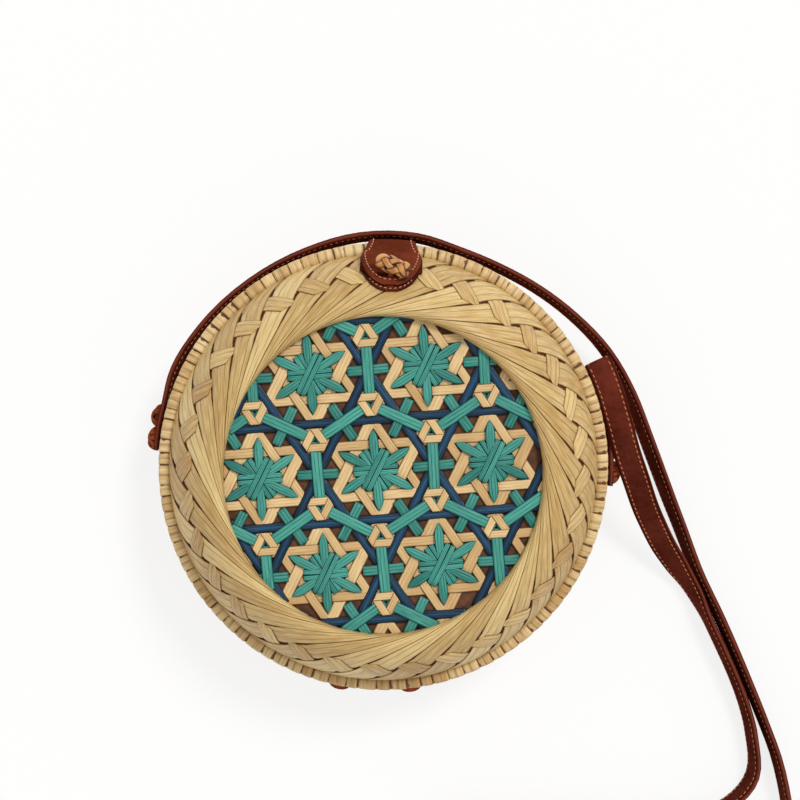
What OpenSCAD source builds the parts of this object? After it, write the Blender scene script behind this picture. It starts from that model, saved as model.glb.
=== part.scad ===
// Round two-shell woven bag with wrapped rims, star-weave panels, leather hinges, flap and strap.
// It lies on its back: +Z is the front, +Y the top, and the origin is the centre of the back ridge.

/* [Shell] */
// Diameter over the bound rims
bag_d = 200; // [190:1:230]
// Depth of the shut bag, ridge to ridge
bag_depth = 80; // [74:1:92]
// Width of the curved band, from the bound rims in to the ridge round each panel
band_w = 28.5; // [27:0.1:29.5]
// Fullness of the shell's curve, where 2 is an ellipse
bulge = 1.6; // [1.5:0.05:1.8]
// Thickness of the woven wall
wall_t = 1.6; // [1.2:0.1:1.8]
// Width of the flat on top of the ridge
ridge_flat = 1; // [0.6:0.1:1.4]

/* [Rims] */
// Gap from each rim to the plane where the shells meet
rim_gap = 0.25; // [0.2:0.05:0.5]
// Thickness of the binding splint
binding_t = 0.6; // [0.4:0.1:0.8]
// Gap between the wraps of the binding
wrap_gap = 0.8; // [0.4:0.1:1.6]
// Number of wraps round each rim
wrap_count = 90; // [60:2:96]
// Height of both hoops
hoop_h = 5.6; // [4.6:0.1:6.2]
// Radial width of the outer hoop
outer_hoop_w = 4; // [3.2:0.1:4.6]
// Radial width of the inner hoop
inner_hoop_w = 2; // [1.4:0.1:2.6]

/* [Star weave] */
// Width of the ridge's lip, from the ridge in to the woven panel
lip_w = 2.6; // [2.2:0.1:4]
// Depth of the panel's face below the ridge
panel_recess = 3.4; // [2.6:0.1:4.5]
// Distance from star to star
star_pitch = 49.7; // [47:0.1:54]
// Turn of the star rows from the bag's cross axis, in degrees
weave_turn = 6.6; // [0:0.1:30]
// Sideways place of the middle star
star_x = -3.3; // [-8:0.1:8]
// Upward place of the middle star
star_y = 2.4; // [-8:0.1:8]
// Thickness of a splint
splint_t = 0.5; // [0.4:0.05:0.6]
// Width of the natural splints
natural_w = 3.8; // [3:0.1:4.2]
// Width of the navy splints
navy_w = 3.8; // [3:0.1:4.2]
// Width of a star's arms
star_w = 4.2; // [3.4:0.1:4.6]
// Width of a star's pointed leaves
leaf_w = 3.6; // [2.8:0.1:4]
// Width of the crosses between the stars
cross_w = 4; // [3.2:0.1:4.4]
// Width of the strips of a triangle knot
knot_w = 3.2; // [2.4:0.1:3.6]
// Thickness of the lining disc
lining_t = 0.8; // [0.6:0.1:1.2]

/* [Swirl] */
// Number of splints in the swirl round each panel
swirl_count = 32; // [28:1:36]
// Thickness of the swirl splints
swirl_t = 0.5; // [0.4:0.05:0.6]

/* [Leather] */
// Width of each hinge lace
lace_w = 9.5; // [7:0.5:11]
// Thickness of each hinge lace
lace_t = 1; // [0.8:0.1:1.2]
// Distance between the two hinge laces
lace_spacing = 32; // [26:1:40]
// Width of the closure flap
flap_w = 26.5; // [22:0.5:30]
// Thickness of the closure flap
flap_t = 1.4; // [1:0.1:1.8]
// Distance from the ridge to the flap's round end
flap_end_gap = 9.1; // [8:0.1:10]
// Distance from the ridge to the end of the flap's root on the back
root_end_gap = 10.5; // [8.5:0.1:12.5]
// Thickness of the patch under the flap
patch_t = 1.2; // [0.8:0.1:1.4]
// Margin of the patch beyond the flap's round end
patch_margin = 2.2; // [1.5:0.1:2.6]
// Margin of the patch beside the flap
patch_side_margin = 0.8; // [0.4:0.1:2]
// Width of the slit in the flap
slit_w = 14; // [12:0.5:15]
// Height of the slit in the flap
slit_h = 3.4; // [3.2:0.1:4]

/* [Toggle] */
// Length of the toggle knot
toggle_l = 16; // [14:0.5:18]
// Thickness of the toggle knot
toggle_d = 8.4; // [7:0.1:9]
// Diameter of the toggle's stem
stem_d = 2.4; // [2:0.1:2.8]
// Slope of the toggle knot across the flap, in degrees
toggle_slope = -30; // [-40:1:0]

/* [Strap] */
// Width of the strap
strap_w = 12.4; // [10:0.1:12.6]
// Thickness of the strap
strap_t = 2.6; // [2.2:0.1:3]
// Distance of the strap's centre line below the plane where the shells meet
strap_drop = 9; // [8.8:0.1:10]
// Lean of the strap out from the rim, in degrees
strap_lean = 12; // [10:0.5:14]
// Centre radius of the strap's fold
fold_r = 2.2; // [2:0.1:2.5]
// Width of a side knot along the strap
side_knot_w = 9; // [7:0.1:9.4]
// Height of a side knot across the strap
side_knot_h = 7.6; // [6:0.1:7.8]
// Thickness of a side knot
side_knot_t = 4.6; // [3:0.1:4.8]
// Diameter of the thong that carries a side knot
thong_d = 2.4; // [2:0.1:2.6]
// Distance of the side knots below the strap's centre line
side_knot_drop = 2.5; // [2.2:0.1:3]

/* [Hidden] */

$fn = 96;
bag_r = bag_d / 2;
half_depth = bag_depth / 2;
ridge_r = bag_r - band_w;
panel_r = ridge_r - lip_w;

// Clearances
seat_gap = 0.1;      // between pieces of one shell that lie against each other
lay_gap = 0.05;      // between splints that cross
leather_gap = 0.3;   // between leather and what it passes or lies on
stem_gap = 0.08;     // round the toggle's stem in its bore
thong_gap = 0.1;     // round a side knot's thong in its bores
overrun = 5;         // by which a cutting shape stands clear of what it cuts

// Rim section, where t is the distance from the plane where the shells meet
hoop_t0 = rim_gap + binding_t + seat_gap;
hoop_t1 = hoop_t0 + hoop_h;
binding_t1 = hoop_t1 + seat_gap + binding_t;
outer_hoop_r1 = bag_r - binding_t - seat_gap;
outer_hoop_r0 = outer_hoop_r1 - outer_hoop_w;
wall_rim_r = outer_hoop_r0 - seat_gap;
rim_bevel = binding_t * 0.8;
hoop_round = outer_hoop_w * 0.2;

// Shell curve: a fuller ellipse from the rim to the ridge, offset outward by a clearance
function curve_r(a, out) = ridge_r + (wall_rim_r - ridge_r + out) * pow(cos(a), 2 / bulge);
function curve_t(a, out) = (half_depth + out) * pow(sin(a), 2 / bulge);
function curve_point(a, out) = [curve_r(a, out), curve_t(a, out)];
function wall_r(t, out) = ridge_r
    + (wall_rim_r - ridge_r + out) * pow(1 - pow(t / (half_depth + out), bulge), 1 / bulge);
// Curve angle at which the outer surface has a given radius
function angle_at(r) = acos(pow((r - ridge_r) / (wall_rim_r - ridge_r), bulge / 2));
// Slope of the surface's outward normal above the plane of the rims
function normal_slope(a) = atan(pow(tan(a), 2 - 2 / bulge) * (wall_rim_r - ridge_r) / half_depth);

// Curve angles between which a swirl splint runs, in degrees
swirl_low_angle = 23.5;
swirl_high_angle = 78;
// Curve angles of the points of the wall's outer side, in degrees
wall_angles = [for (a = [16:7.4:90]) a];
swirl_out0 = lay_gap * 5;
swirl_out1 = swirl_out0 + swirl_t;
// Curve angle of the plaited row, in degrees
plait_angle = 49;
// Widths of the swirl splints and of the ones that cross them, and other sizes along the plait, as
// shares of the swirl's pitch
swirl_fill_share = 0.93;
plait_fill_share = 0.5;
plait_reach_share = 0.97;
plait_gap_share = 0.03;

inner_hoop_r1 = wall_r(hoop_t1, -wall_t) - seat_gap;
inner_hoop_r0 = inner_hoop_r1 - inner_hoop_w;
binding_r0 = inner_hoop_r0 - seat_gap - binding_t;
hook_out_r = wall_r(binding_t1 - binding_t, 0) + seat_gap;
hook_in_r = wall_r(binding_t1, -wall_t) - seat_gap;

// Panel layers, from the lining outward
face_t = half_depth - panel_recess;
layer_pitch = splint_t + lay_gap;
top_layer_t = face_t - splint_t;
lining_t1 = top_layer_t - 3 * layer_pitch - lay_gap;
lip_t = lining_t1 + lay_gap;
line_pitch = star_pitch * sin(60) / 4;
star_arm_share = 0.187;
leaf_tip_share = 0.358;
leaf_root_share = 0.05;
cross_long_share = 0.4;
cross_short_share = 0.332;
knot_side_share = 0.2;
knot_place_share = 0.0476;

// Leather flap and patch, held off the shell by what lies under them
patch_out0 = swirl_out1 + leather_gap / 2;
patch_out1 = patch_out0 + patch_t;
flap_out0 = patch_out1 + leather_gap;
flap_out1 = flap_out0 + flap_t;
root_out0 = patch_out0;
flap_tip_r = ridge_r + flap_end_gap;
root_tip_r = ridge_r + root_end_gap;
flap_bend_angle = 45;
flap_steps = 6;
flap_seam = 0.6;                       // height of the flap's bend above the plane of the rims
flap_seam_gap = 0.4;

// Toggle, square to the shell at this curve angle
toggle_angle = 55;
toggle_y = curve_r(toggle_angle, 0);
toggle_t = curve_t(toggle_angle, 0);
toggle_tilt = normal_slope(toggle_angle);
toggle_rise = flap_out1 + leather_gap + toggle_d / 2;
stem_bead_d = stem_d * 2.2;
stem_bead_t = stem_d * 0.6;
stem_depth_share = 0.3;

// Hinge laces
lace_r1 = bag_r + leather_gap + lace_t;
lace_r0 = binding_r0 - leather_gap - lace_t;
lace_t1 = binding_t1 + leather_gap + lace_t;
lace_corner = lace_t * 0.7;
lace_turn = asin(lace_spacing / 2 / bag_r);

// Strap: where it hugs the rim, its leaning inner face just clears the binding's corner
strap_z = half_depth - strap_drop;
strap_run_r = bag_r + leather_gap + strap_t / 2 / cos(strap_lean)
    - (strap_drop - binding_t1) * tan(strap_lean);
strap_bevel = strap_t * 0.25;
strap_steps = 3;
fold_steps = 6;
edge_roll = 90 - strap_lean;
// Route of the strap from its left end to the fold: angle round the bag, radius as a share of the
// rim run, height as a share of the rim run's, and roll, where 90 stands on edge
strap_route_shares = [
    [178, 1, 1, edge_roll], [172, 1, 1, edge_roll], [165.5, 1, 1, edge_roll], [157, 1.012, 1, 74],
    [145, 1.006, 1, 76], [128, 1, 1, edge_roll], [112, 1.004, 1, edge_roll], [98, 1.017, 1, edge_roll],
    [84, 1.019, 1, edge_roll], [73, 1.006, 0.96, edge_roll], [62, 1.014, 0.86, edge_roll],
    [51, 1.04, 0.7, edge_roll], [40, 1.077, 0.52, edge_roll], [29, 1.122, 0.34, 76], [18, 1.16, 0.18, 73],
    [8, 1.2, 0.06, 68], [-1, 1.27, 0, 67], [-9, 1.37, 0, 68], [-17, 1.52, 0, 70],
    [-23, 1.71, 0, 72], [-28, 1.91, 0, 72], [-32, 2.11, 0, 73], [-36, 2.34, 0, 76],
    [-40.5, 2.55, 0, 80], [-45.5, 2.62, 0, 87], [-51, 2.51, 0, 90], [-58, 2.3, 0, 90],
    [-66, 2.14, 0, 90], [-74, 2.03, 0, 90], [-80.5, 1.94, 0, 90], [-82.8, 1.82, 0, 90],
    [-79.5, 1.72, 0, 90], [-72, 1.73, 0, 90], [-63, 1.85, 0, 90], [-55, 2.02, 0, 90],
    [-48.5, 2.18, 0, 88], [-43, 2.27, 0, 82], [-38.5, 2.26, 0, 76], [-34.9, 2.14, 0, 73],
    [-32.1, 2.021, 0, 72], [-27.3, 1.797, 0, 72], [-23.8, 1.656, 0, 70], [-20.8, 1.55, 0.03, 46],
    [-17.7, 1.431, 0.21, 16], [-13.8, 1.315, 0.44, 3], [-7.8, 1.203, 0.76, 0], [-1.1, 1.129, 1.03, 0],
    [6, 1.078, 1.2, 0], [14, 1.056, 1.27, 0], [21, 1.052, 1.29, 0], [27, 1.052, 1.29, 0]
];
// Route from the fold to the right end
strap_tail_shares = [
    [27, 1.052, 1.14, 0], [23, 1.052, 1.1, 8], [18, 1.033, 1.04, 35], [15, 1.012, 1.01, 62],
    [11.5, 1, 1, edge_roll], [8, 1, 1, edge_roll], [3, 1, 1, edge_roll], [-2.8, 1, 1, edge_roll]
];
// Places of the side knots round the bag: left upper, left lower, right upper, right lower
side_knot_angles = [169.9, 175.6, 6.4, 0.1];
thong_bead_d = thong_d * 1.5;
thong_bead_t = thong_d * 0.4;
// Distance along a thong from the strap's middle to the inside of the wall
thong_t = strap_drop + side_knot_drop * cos(strap_lean);
thong_out_r = strap_run_r - side_knot_drop * sin(strap_lean);
thong_fall = (thong_out_r - wall_r(thong_t, -wall_t)) * tan(strap_lean);
thong_reach = (thong_out_r - wall_r(thong_t - thong_fall, -wall_t)) / cos(strap_lean);

// Frames

// The front shell is built above the plane of the rims, and the back one is the same turned over
module shell_frame(front) {
    translate([0, 0, half_depth])
        rotate([0, front ? 0 : 180, 0])
            children();
}

// Z along the shell's normal at the toggle, X across the bag
module toggle_frame() {
    translate([0, toggle_y, half_depth + toggle_t])
        rotate([toggle_tilt - 90, 0, 0])
            children();
}

// Z out through the strap's face at a side knot, Y up the strap
module side_knot_frame(angle) {
    rotate([0, 0, angle])
        translate([strap_run_r, 0, strap_z])
            rotate([0, strap_lean, 0])
                translate([0, 0, -side_knot_drop])
                    rotate([90, 0, 90])
                        children();
}

module hinge_frame(turn) {
    rotate([0, 0, turn - 90])
        translate([0, lace_w / 2, half_depth])
            rotate([90, 0, 0])
                children();
}

// Bores and slots

module toggle_bore(gap) {
    toggle_frame()
        translate([0, 0, -wall_t - overrun])
            cylinder(d = stem_d + 2 * gap, h = wall_t + 2 * overrun);
}

module thong_bore(angle) {
    side_knot_frame(angle)
        translate([0, 0, -outer_hoop_w - 2 * overrun])
            cylinder(d = thong_d + 2 * thong_gap, h = outer_hoop_w + 3 * overrun);
}

module lace_slot(turn) {
    rotate([0, 0, turn - 90])
        translate([lace_r0, -lace_w / 2 - leather_gap, lace_t1 - lace_t - leather_gap / 2])
            cube([lace_r1 - lace_r0, lace_w + 2 * leather_gap, lace_t + leather_gap]);
}

// Shell

module wall_body() {
    outer = [for (a = wall_angles) curve_point(a, 0)];
    inner = [for (i = [len(wall_angles) - 1:-1:0]) curve_point(wall_angles[i], -wall_t)];
    lip_run = lip_w - ridge_flat;
    lip = [
        [ridge_r - ridge_flat, half_depth],
        [panel_r + lip_run * 0.4, half_depth - wall_t / 4],
        [panel_r, half_depth - wall_t],
        [panel_r, lip_t],
        [panel_r + wall_t, lip_t],
        [panel_r + wall_t, half_depth - 2 * wall_t]
    ];
    foot = [[wall_r(hoop_t0, -wall_t), hoop_t0], [wall_r(hoop_t0, 0), hoop_t0]];
    rotate_extrude()
        polygon(concat(foot, outer, lip, inner));
}

module wall(front) {
    difference() {
        shell_frame(front)
            difference() {
                wall_body();
                for (side = [-1, 1]) lace_slot(side * lace_turn);
            }
        if (front) toggle_bore(stem_gap);
        if (!front) for (angle = side_knot_angles) thong_bore(angle);
    }
}

module outer_hoop() {
    rotate_extrude()
        polygon([
            [outer_hoop_r0, hoop_t0], [outer_hoop_r1 - hoop_round, hoop_t0],
            [outer_hoop_r1, hoop_t0 + hoop_round], [outer_hoop_r1, hoop_t1 - hoop_round],
            [outer_hoop_r1 - hoop_round, hoop_t1], [outer_hoop_r0, hoop_t1]
        ]);
}

module inner_hoop() {
    rotate_extrude()
        polygon([
            [inner_hoop_r0, hoop_t0], [inner_hoop_r1, hoop_t0],
            [inner_hoop_r1, hoop_t1], [inner_hoop_r0, hoop_t1]
        ]);
}

// Each wrap runs over both hoops and hooks in behind them to the wall
module rim_binding() {
    section = [
        [binding_r0, rim_gap], [bag_r - rim_bevel, rim_gap], [bag_r, rim_gap + rim_bevel],
        [bag_r, binding_t1 - rim_bevel], [bag_r - rim_bevel, binding_t1], [hook_out_r, binding_t1],
        [hook_out_r, binding_t1 - binding_t], [bag_r - binding_t, binding_t1 - binding_t],
        [bag_r - binding_t, rim_gap + binding_t], [binding_r0 + binding_t, rim_gap + binding_t],
        [binding_r0 + binding_t, binding_t1 - binding_t], [hook_in_r, binding_t1 - binding_t],
        [hook_in_r, binding_t1], [binding_r0, binding_t1]
    ];
    for (i = [0:wrap_count - 1])
        rotate([0, 0, 360 * i / wrap_count])
            rotate_extrude(angle = 360 / wrap_count - asin(wrap_gap / bag_r))
                polygon(section);
}

module lining() {
    translate([0, 0, lining_t1 - lining_t])
        cylinder(r = panel_r + wall_t - seat_gap, h = lining_t);
}

// A closed skin over rings of points, with both ends filled by the given faces
module loft(rings, caps) {
    n = len(rings[0]);
    last = (len(rings) - 1) * n;
    sides = [
        for (i = [0:len(rings) - 2], j = [0:n - 1])
            for (face = [
                [i * n + j, i * n + (j + 1) % n, (i + 1) * n + j],
                [i * n + (j + 1) % n, (i + 1) * n + (j + 1) % n, (i + 1) * n + j]
            ]) face
    ];
    start = [for (face = caps) [face[2], face[1], face[0]]];
    end = [for (face = caps) [face[0] + last, face[1] + last, face[2] + last]];
    polyhedron(points = [for (ring = rings) for (p = ring) p], faces = concat(sides, start, end));
}

// Seen from the front, a swirl splint is straight and leaves the panel's edge along a tangent. The
// splints that cross it lean the other way. Each kind is known by its direction at the panel's edge,
// and the turn between those directions gives how far out the two meet.
function lean(a) = acos(panel_r / curve_r(a, 0));
function plait_point(swirl, counter, out) =
    let (
        a = angle_at(panel_r / cos((swirl - counter) / 2)),
        turn = (swirl + counter) / 2
    )
    [curve_r(a, out) * cos(turn), curve_r(a, out) * sin(turn), curve_t(a, out)];

// A stretch of splint between two edges in the swirl's direction. Its outer end and its inner end
// each have a counter direction at either edge.
module plait_strip(swirl, outer, inner, steps) {
    function across(pair, s) = pair[0] + s * (pair[1] - pair[0]);
    function strip_point(s, share, out) = plait_point(
        across(swirl, s), across([across(outer, s), across(inner, s)], share), out
    );
    loft(
        [for (i = [0:steps])
            concat(
                [for (s = [0, 0.5, 1]) strip_point(s, i / steps, swirl_out0)],
                [for (s = [1, 0.5, 0]) strip_point(s, i / steps, swirl_out1)]
            )],
        [[0, 1, 4], [0, 4, 5], [1, 2, 3], [1, 3, 4]]
    );
}

swirl_pitch = 360 / swirl_count;
// Places of the plaited row round the bag, one of them under the toggle
row_turns = [for (k = [0:swirl_count - 1]) 90 + k * swirl_pitch];

function edges(middle, share) = [for (s = [-0.5, 0.5]) middle + s * share * swirl_pitch];

// Each splint shows from the ridge to the plaited row, and again from there to the rim
module swirl_splints() {
    cover_share = plait_fill_share + 2 * plait_gap_share;
    for (turn = row_turns) {
        swirl = edges(turn + lean(plait_angle), swirl_fill_share);
        row = edges(turn - lean(plait_angle), cover_share);
        plait_strip(swirl, [row[1], row[1]], [for (s = swirl) s - 2 * lean(swirl_high_angle)], 5);
        plait_strip(swirl, [for (s = swirl) s - 2 * lean(swirl_low_angle)], [row[0], row[0]], 3);
    }
}

// In the plaited row the crossing splints pass over the swirl
module plait_splints() {
    for (turn = row_turns) {
        row = edges(turn - lean(plait_angle), plait_fill_share);
        plait_strip(
            edges(turn + lean(plait_angle), plait_reach_share), [row[0], row[0]], [row[1], row[1]], 3
        );
    }
}

// Star weave

module on_panel(t) {
    intersection() {
        translate([star_x, star_y, t])
            rotate([0, 0, weave_turn])
                children();
        translate([0, 0, t - overrun])
            cylinder(r = panel_r - seat_gap, h = splint_t + 2 * overrun);
    }
}

// Splints of one kind in the three directions, one layer to a direction
module splint_rows(rows, width) {
    length = 2 * (panel_r + star_pitch);
    for (direction = [0:2])
        on_panel(top_layer_t - (3 - direction) * layer_pitch)
            rotate([0, 0, 60 * direction])
                for (row = rows)
                    translate([-length / 2, row * line_pitch - width / 2, 0])
                        cube([length, width, splint_t]);
}

star_places = concat([[0, 0]], [for (k = [0:5]) [star_pitch, 60 * k]]);
cross_places = concat(
    [for (k = [0:5]) [star_pitch / 2, 60 * k, 60 * k]],
    [for (k = [0:5]) [star_pitch * sin(60), 60 * k + 30, 60 * k + 120]],
    [for (k = [0:5], s = [-1, 1])
        [star_pitch * sqrt(1.75), 60 * k + s * atan(sqrt(3) / 5), 60 * k + s * 60]]
);
knot_places = concat(
    [for (k = [0:5]) [star_pitch / sqrt(3), 60 * k + 30, 60 * k + 210]],
    [for (k = [0:5]) [2 * star_pitch / sqrt(3), 60 * k + 30, 60 * k + 30]]
);

// Three arms cross at the centre, with six pointed leaves around them
module star_piece() {
    arm = star_pitch * star_arm_share;
    tip = star_pitch * leaf_tip_share;
    root = star_pitch * leaf_root_share;
    linear_extrude(splint_t) {
        for (k = [0:2])
            rotate([0, 0, 60 * k])
                translate([-arm, -star_w / 2]) square([2 * arm, star_w]);
        for (k = [0:5])
            rotate([0, 0, 60 * k + 30])
                polygon([
                    [root, -leaf_w / 4], [arm, -leaf_w / 2], [tip - leaf_w / 2, -leaf_w / 2],
                    [tip, 0], [tip - leaf_w / 2, leaf_w / 2], [arm, leaf_w / 2], [root, leaf_w / 4]
                ]);
    }
}

// A strip across the gap between two stars, over a strip along it
module cross_piece() {
    long = star_pitch * cross_long_share;
    short = star_pitch * cross_short_share;
    linear_extrude(splint_t) {
        translate([-short / 2, -cross_w / 2]) square([short, cross_w]);
        translate([-cross_w / 2, -long / 2]) square([cross_w, long]);
    }
}

// Three short strips laid round a triangular hole
module knot_piece() {
    side = star_pitch * knot_side_share;
    linear_extrude(splint_t)
        for (k = [0:2])
            rotate([0, 0, 120 * k])
                translate([-star_pitch * knot_place_share - knot_w / 2, -side / 2])
                    square([knot_w, side]);
}

module stars() {
    on_panel(top_layer_t)
        for (place = star_places)
            rotate([0, 0, place[1]])
                translate([place[0], 0, 0])
                    rotate([0, 0, -place[1]])
                        star_piece();
}

module crosses() {
    on_panel(top_layer_t)
        for (place = cross_places)
            rotate([0, 0, place[1]])
                translate([place[0], 0, 0])
                    rotate([0, 0, place[2] - place[1]])
                        cross_piece();
}

module knots() {
    on_panel(top_layer_t)
        for (place = knot_places)
            rotate([0, 0, place[1]])
                translate([place[0], 0, 0])
                    rotate([0, 0, place[2] - place[1]])
                        knot_piece();
}

natural_rows = [-5, -3, -1, 1, 3, 5];
navy_rows = [-6, -2, 2, 6];

// Leather

// A loop round both rims, through a slot in each wall
module hinge_lace(turn) {
    function loop(r0, r1, t1, c) = [
        [r0 + c, -t1], [r1 - c, -t1], [r1, -t1 + c], [r1, t1 - c],
        [r1 - c, t1], [r0 + c, t1], [r0, t1 - c], [r0, -t1 + c]
    ];
    hinge_frame(turn)
        linear_extrude(lace_w)
            difference() {
                polygon(loop(lace_r0, lace_r1, lace_t1, lace_corner));
                polygon(loop(lace_r0 + lace_t, lace_r1 - lace_t, lace_t1 - lace_t, lace_corner / 2));
            }
}

// Leather drawn tight over the rim from height t0, then laid on the shell to curve angle a1
function tight_section(t0, a1, out0, out1) =
    let (
        r = bag_r + leather_gap,
        thick = out1 - out0,
        angles = [for (i = [0:flap_steps]) flap_bend_angle + (a1 - flap_bend_angle) * i / flap_steps]
    )
    concat(
        [[r, t0], [r + thick, t0], [r + thick, binding_t1 * 0.85], [r + thick * 0.75, binding_t1 + thick]],
        [for (a = angles) curve_point(a, out1)],
        [for (i = [flap_steps:-1:0]) curve_point(angles[i], out0)],
        [[r - leather_gap, binding_t1 + leather_gap], [r, binding_t1 * 0.85]]
    );

// A tongue as seen from the front, with a round end at radius tip_r
module tongue_outline(width, tip_r) {
    translate([-width / 2, tip_r + width / 2]) square([width, bag_r]);
    translate([0, tip_r + width / 2]) circle(d = width);
}

module tongue_cut(section, width, tip_r) {
    spread = atan(width / tip_r);
    intersection() {
        rotate([0, 0, 90 - spread])
            rotate_extrude(angle = 2 * spread)
                polygon(section);
        translate([0, 0, -half_depth])
            linear_extrude(bag_depth + overrun)
                tongue_outline(width, tip_r);
    }
}

module closure_flap_body() {
    difference() {
        translate([0, 0, half_depth])
            tongue_cut(
                tight_section(flap_seam + flap_seam_gap, angle_at(flap_tip_r) + 2, flap_out0, flap_out1),
                flap_w, flap_tip_r
            );
        toggle_frame()
            translate([-slit_w / 2, -slit_h / 2, 0])
                cube([slit_w, slit_h, 2 * overrun]);
    }
}

module flap_root_body() {
    shell_frame(false)
        tongue_cut(
            tight_section(-flap_seam, angle_at(root_tip_r) + 2, root_out0, root_out0 + flap_t),
            flap_w, root_tip_r
        );
}

module patch_body() {
    width = flap_w + 2 * patch_side_margin;
    tip_r = flap_tip_r - patch_margin;
    span = angle_at(tip_r) + 1 - swirl_low_angle;
    angles = [for (i = [0:flap_steps]) swirl_low_angle + span * i / flap_steps];
    section = concat(
        [for (a = angles) curve_point(a, patch_out1)],
        [for (i = [flap_steps:-1:0]) curve_point(angles[i], patch_out0)]
    );
    difference() {
        translate([0, 0, half_depth]) tongue_cut(section, width, tip_r);
        toggle_bore(stem_gap);
    }
}

// Toggle

// A barrel with the three swellings of its plait
module toggle_knot_body() {
    steps = 24;
    end_share = 0.42;
    swell_share = 0.1;
    profile = [
        for (i = [0:steps])
            let (s = 2 * i / steps - 1)
            [
                toggle_d / 2 * (end_share + (1 - end_share) * sqrt(1 - s * s * 0.9))
                    * (1 - swell_share * (1 - abs(cos(270 * s)))),
                toggle_l / 2 * s
            ]
    ];
    difference() {
        toggle_frame()
            translate([0, 0, toggle_rise])
                rotate([0, 0, toggle_slope])
                    rotate([0, 90, 0])
                        rotate_extrude($fn = 48)
                            polygon(concat([[0, -toggle_l / 2]], profile, [[0, toggle_l / 2]]));
        toggle_frame()
            cylinder(
                d = stem_d + 2 * stem_gap,
                h = toggle_rise - toggle_d / 2 + toggle_d * stem_depth_share + seat_gap
            );
    }
}

// The stem starts in a bead inside the wall and ends in the knot
module toggle_stem_body() {
    foot = -wall_t - leather_gap - stem_bead_t;
    head = toggle_rise - toggle_d / 2 + toggle_d * stem_depth_share;
    toggle_frame()
        translate([0, 0, foot]) {
            cylinder(d = stem_bead_d, h = stem_bead_t);
            cylinder(d = stem_d, h = head - foot);
        }
}

// Strap

// Smooth value between the second and third of four, at share s
function smooth(a, b, c, d, s) =
    b + s * (c - a) / 2 + s * s * (a - 2.5 * b + 2 * c - d / 2) + s * s * s * (1.5 * (b - c) + (d - a) / 2);

// Route rows at even steps between the given ones
function refine(rows) = concat(
    [for (i = [0:len(rows) - 2], k = [0:strap_steps - 1])
        let (
            a = rows[max(i - 1, 0)],
            b = rows[i],
            c = rows[i + 1],
            d = rows[min(i + 2, len(rows) - 1)]
        )
        [for (j = [0:3]) smooth(a[j], b[j], c[j], d[j], k / strap_steps)]],
    [rows[len(rows) - 1]]
);

function rest_z(roll) = strap_w / 2 * abs(sin(roll)) + strap_t / 2 * abs(cos(roll));
function route_point(row) =
    let (r = strap_run_r * row[1])
    [r * cos(row[0]), r * sin(row[0]), rest_z(row[3]) + max(row[2], 0) * (strap_z - rest_z(row[3]))];
function route_width(row) = [cos(row[3]) * cos(row[0]), cos(row[3]) * sin(row[0]), sin(row[3])];

// The fold turns over in the plane square to the strap's width
function fold_points(row) =
    let (top = route_point(row), angle = row[0])
    [for (i = [1:fold_steps - 1])
        let (turn = 180 * i / fold_steps)
        [
            top[0] - sin(angle) * fold_r * sin(turn),
            top[1] + cos(angle) * fold_r * sin(turn),
            top[2] - fold_r + fold_r * cos(turn)
        ]];

function unit(v) = v / norm(v);
// Ring of the strap's section at a point, square to its run
function strap_ring(p, run, across) =
    let (
        wide = unit(across - (across * run) * run),
        thick = cross(run, wide),
        w = strap_w / 2,
        t = strap_t / 2,
        b = strap_bevel,
        section = [
            [w - b, -t], [w, b - t], [w, t - b], [w - b, t],
            [b - w, t], [-w, t - b], [-w, b - t], [b - w, -t]
        ]
    )
    [for (c = section) p + c[0] * wide + c[1] * thick];

module strap_body() {
    main = refine(strap_route_shares);
    tail_rows = refine(strap_tail_shares);
    top_row = main[len(main) - 1];
    fold_z = route_point(top_row)[2] - 2 * fold_r;
    // The tail starts level with the fold's lower end and comes down from there
    tail_drop = fold_z - route_point(tail_rows[0])[2];
    tail_count = len(tail_rows);
    tail = [for (i = [0:tail_count - 1])
        route_point(tail_rows[i]) + [0, 0, tail_drop * pow(1 - i / (tail_count - 1), 2)]];
    folded = fold_points(top_row);
    points = concat([for (row = main) route_point(row)], folded, tail);
    widths = concat(
        [for (row = main) route_width(row)],
        [for (p = folded) route_width(top_row)],
        [for (row = tail_rows) route_width(row)]
    );
    n = len(points);
    rings = [for (i = [0:n - 1])
        strap_ring(points[i], unit(points[min(i + 1, n - 1)] - points[max(i - 1, 0)]), widths[i])];
    loft(rings, [for (k = [1:6]) [0, k, k + 1]]);
}

// A faceted knot outside the strap, on a thong that ends in a bead inside the wall
module side_knot(angle) {
    bead_z = -thong_reach - leather_gap - thong_bead_t;
    side_knot_frame(angle) {
        translate([0, 0, strap_t / 2 + seat_gap])
            hull() {
                scale([side_knot_w / side_knot_h, 1, 1])
                    cylinder(d = side_knot_h * 0.8, h = side_knot_t * 0.2, $fn = 8);
                translate([0, 0, side_knot_t * 0.35])
                    scale([side_knot_w / side_knot_h, 1, 1])
                        cylinder(d = side_knot_h, h = side_knot_t * 0.25, $fn = 8);
                rotate([0, 0, 22.5])
                    cylinder(d = side_knot_h * 0.6, h = side_knot_t, $fn = 8);
            }
        translate([0, 0, bead_z])
            cylinder(d = thong_d, h = strap_t / 2 + seat_gap + side_knot_t / 2 - bead_z);
        translate([0, 0, bead_z])
            cylinder(d = thong_bead_d, h = thong_bead_t);
    }
}

// Sub-parts of the back shell

module back_wall() {
    color("Tan") wall(false);
}

module back_swirl() {
    color("BurlyWood") shell_frame(false) swirl_splints();
}

module back_plait() {
    color("Tan") shell_frame(false) plait_splints();
}

module back_outer_hoop() {
    color("Peru") shell_frame(false) outer_hoop();
}

module back_inner_hoop() {
    color("Peru") shell_frame(false) inner_hoop();
}

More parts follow.
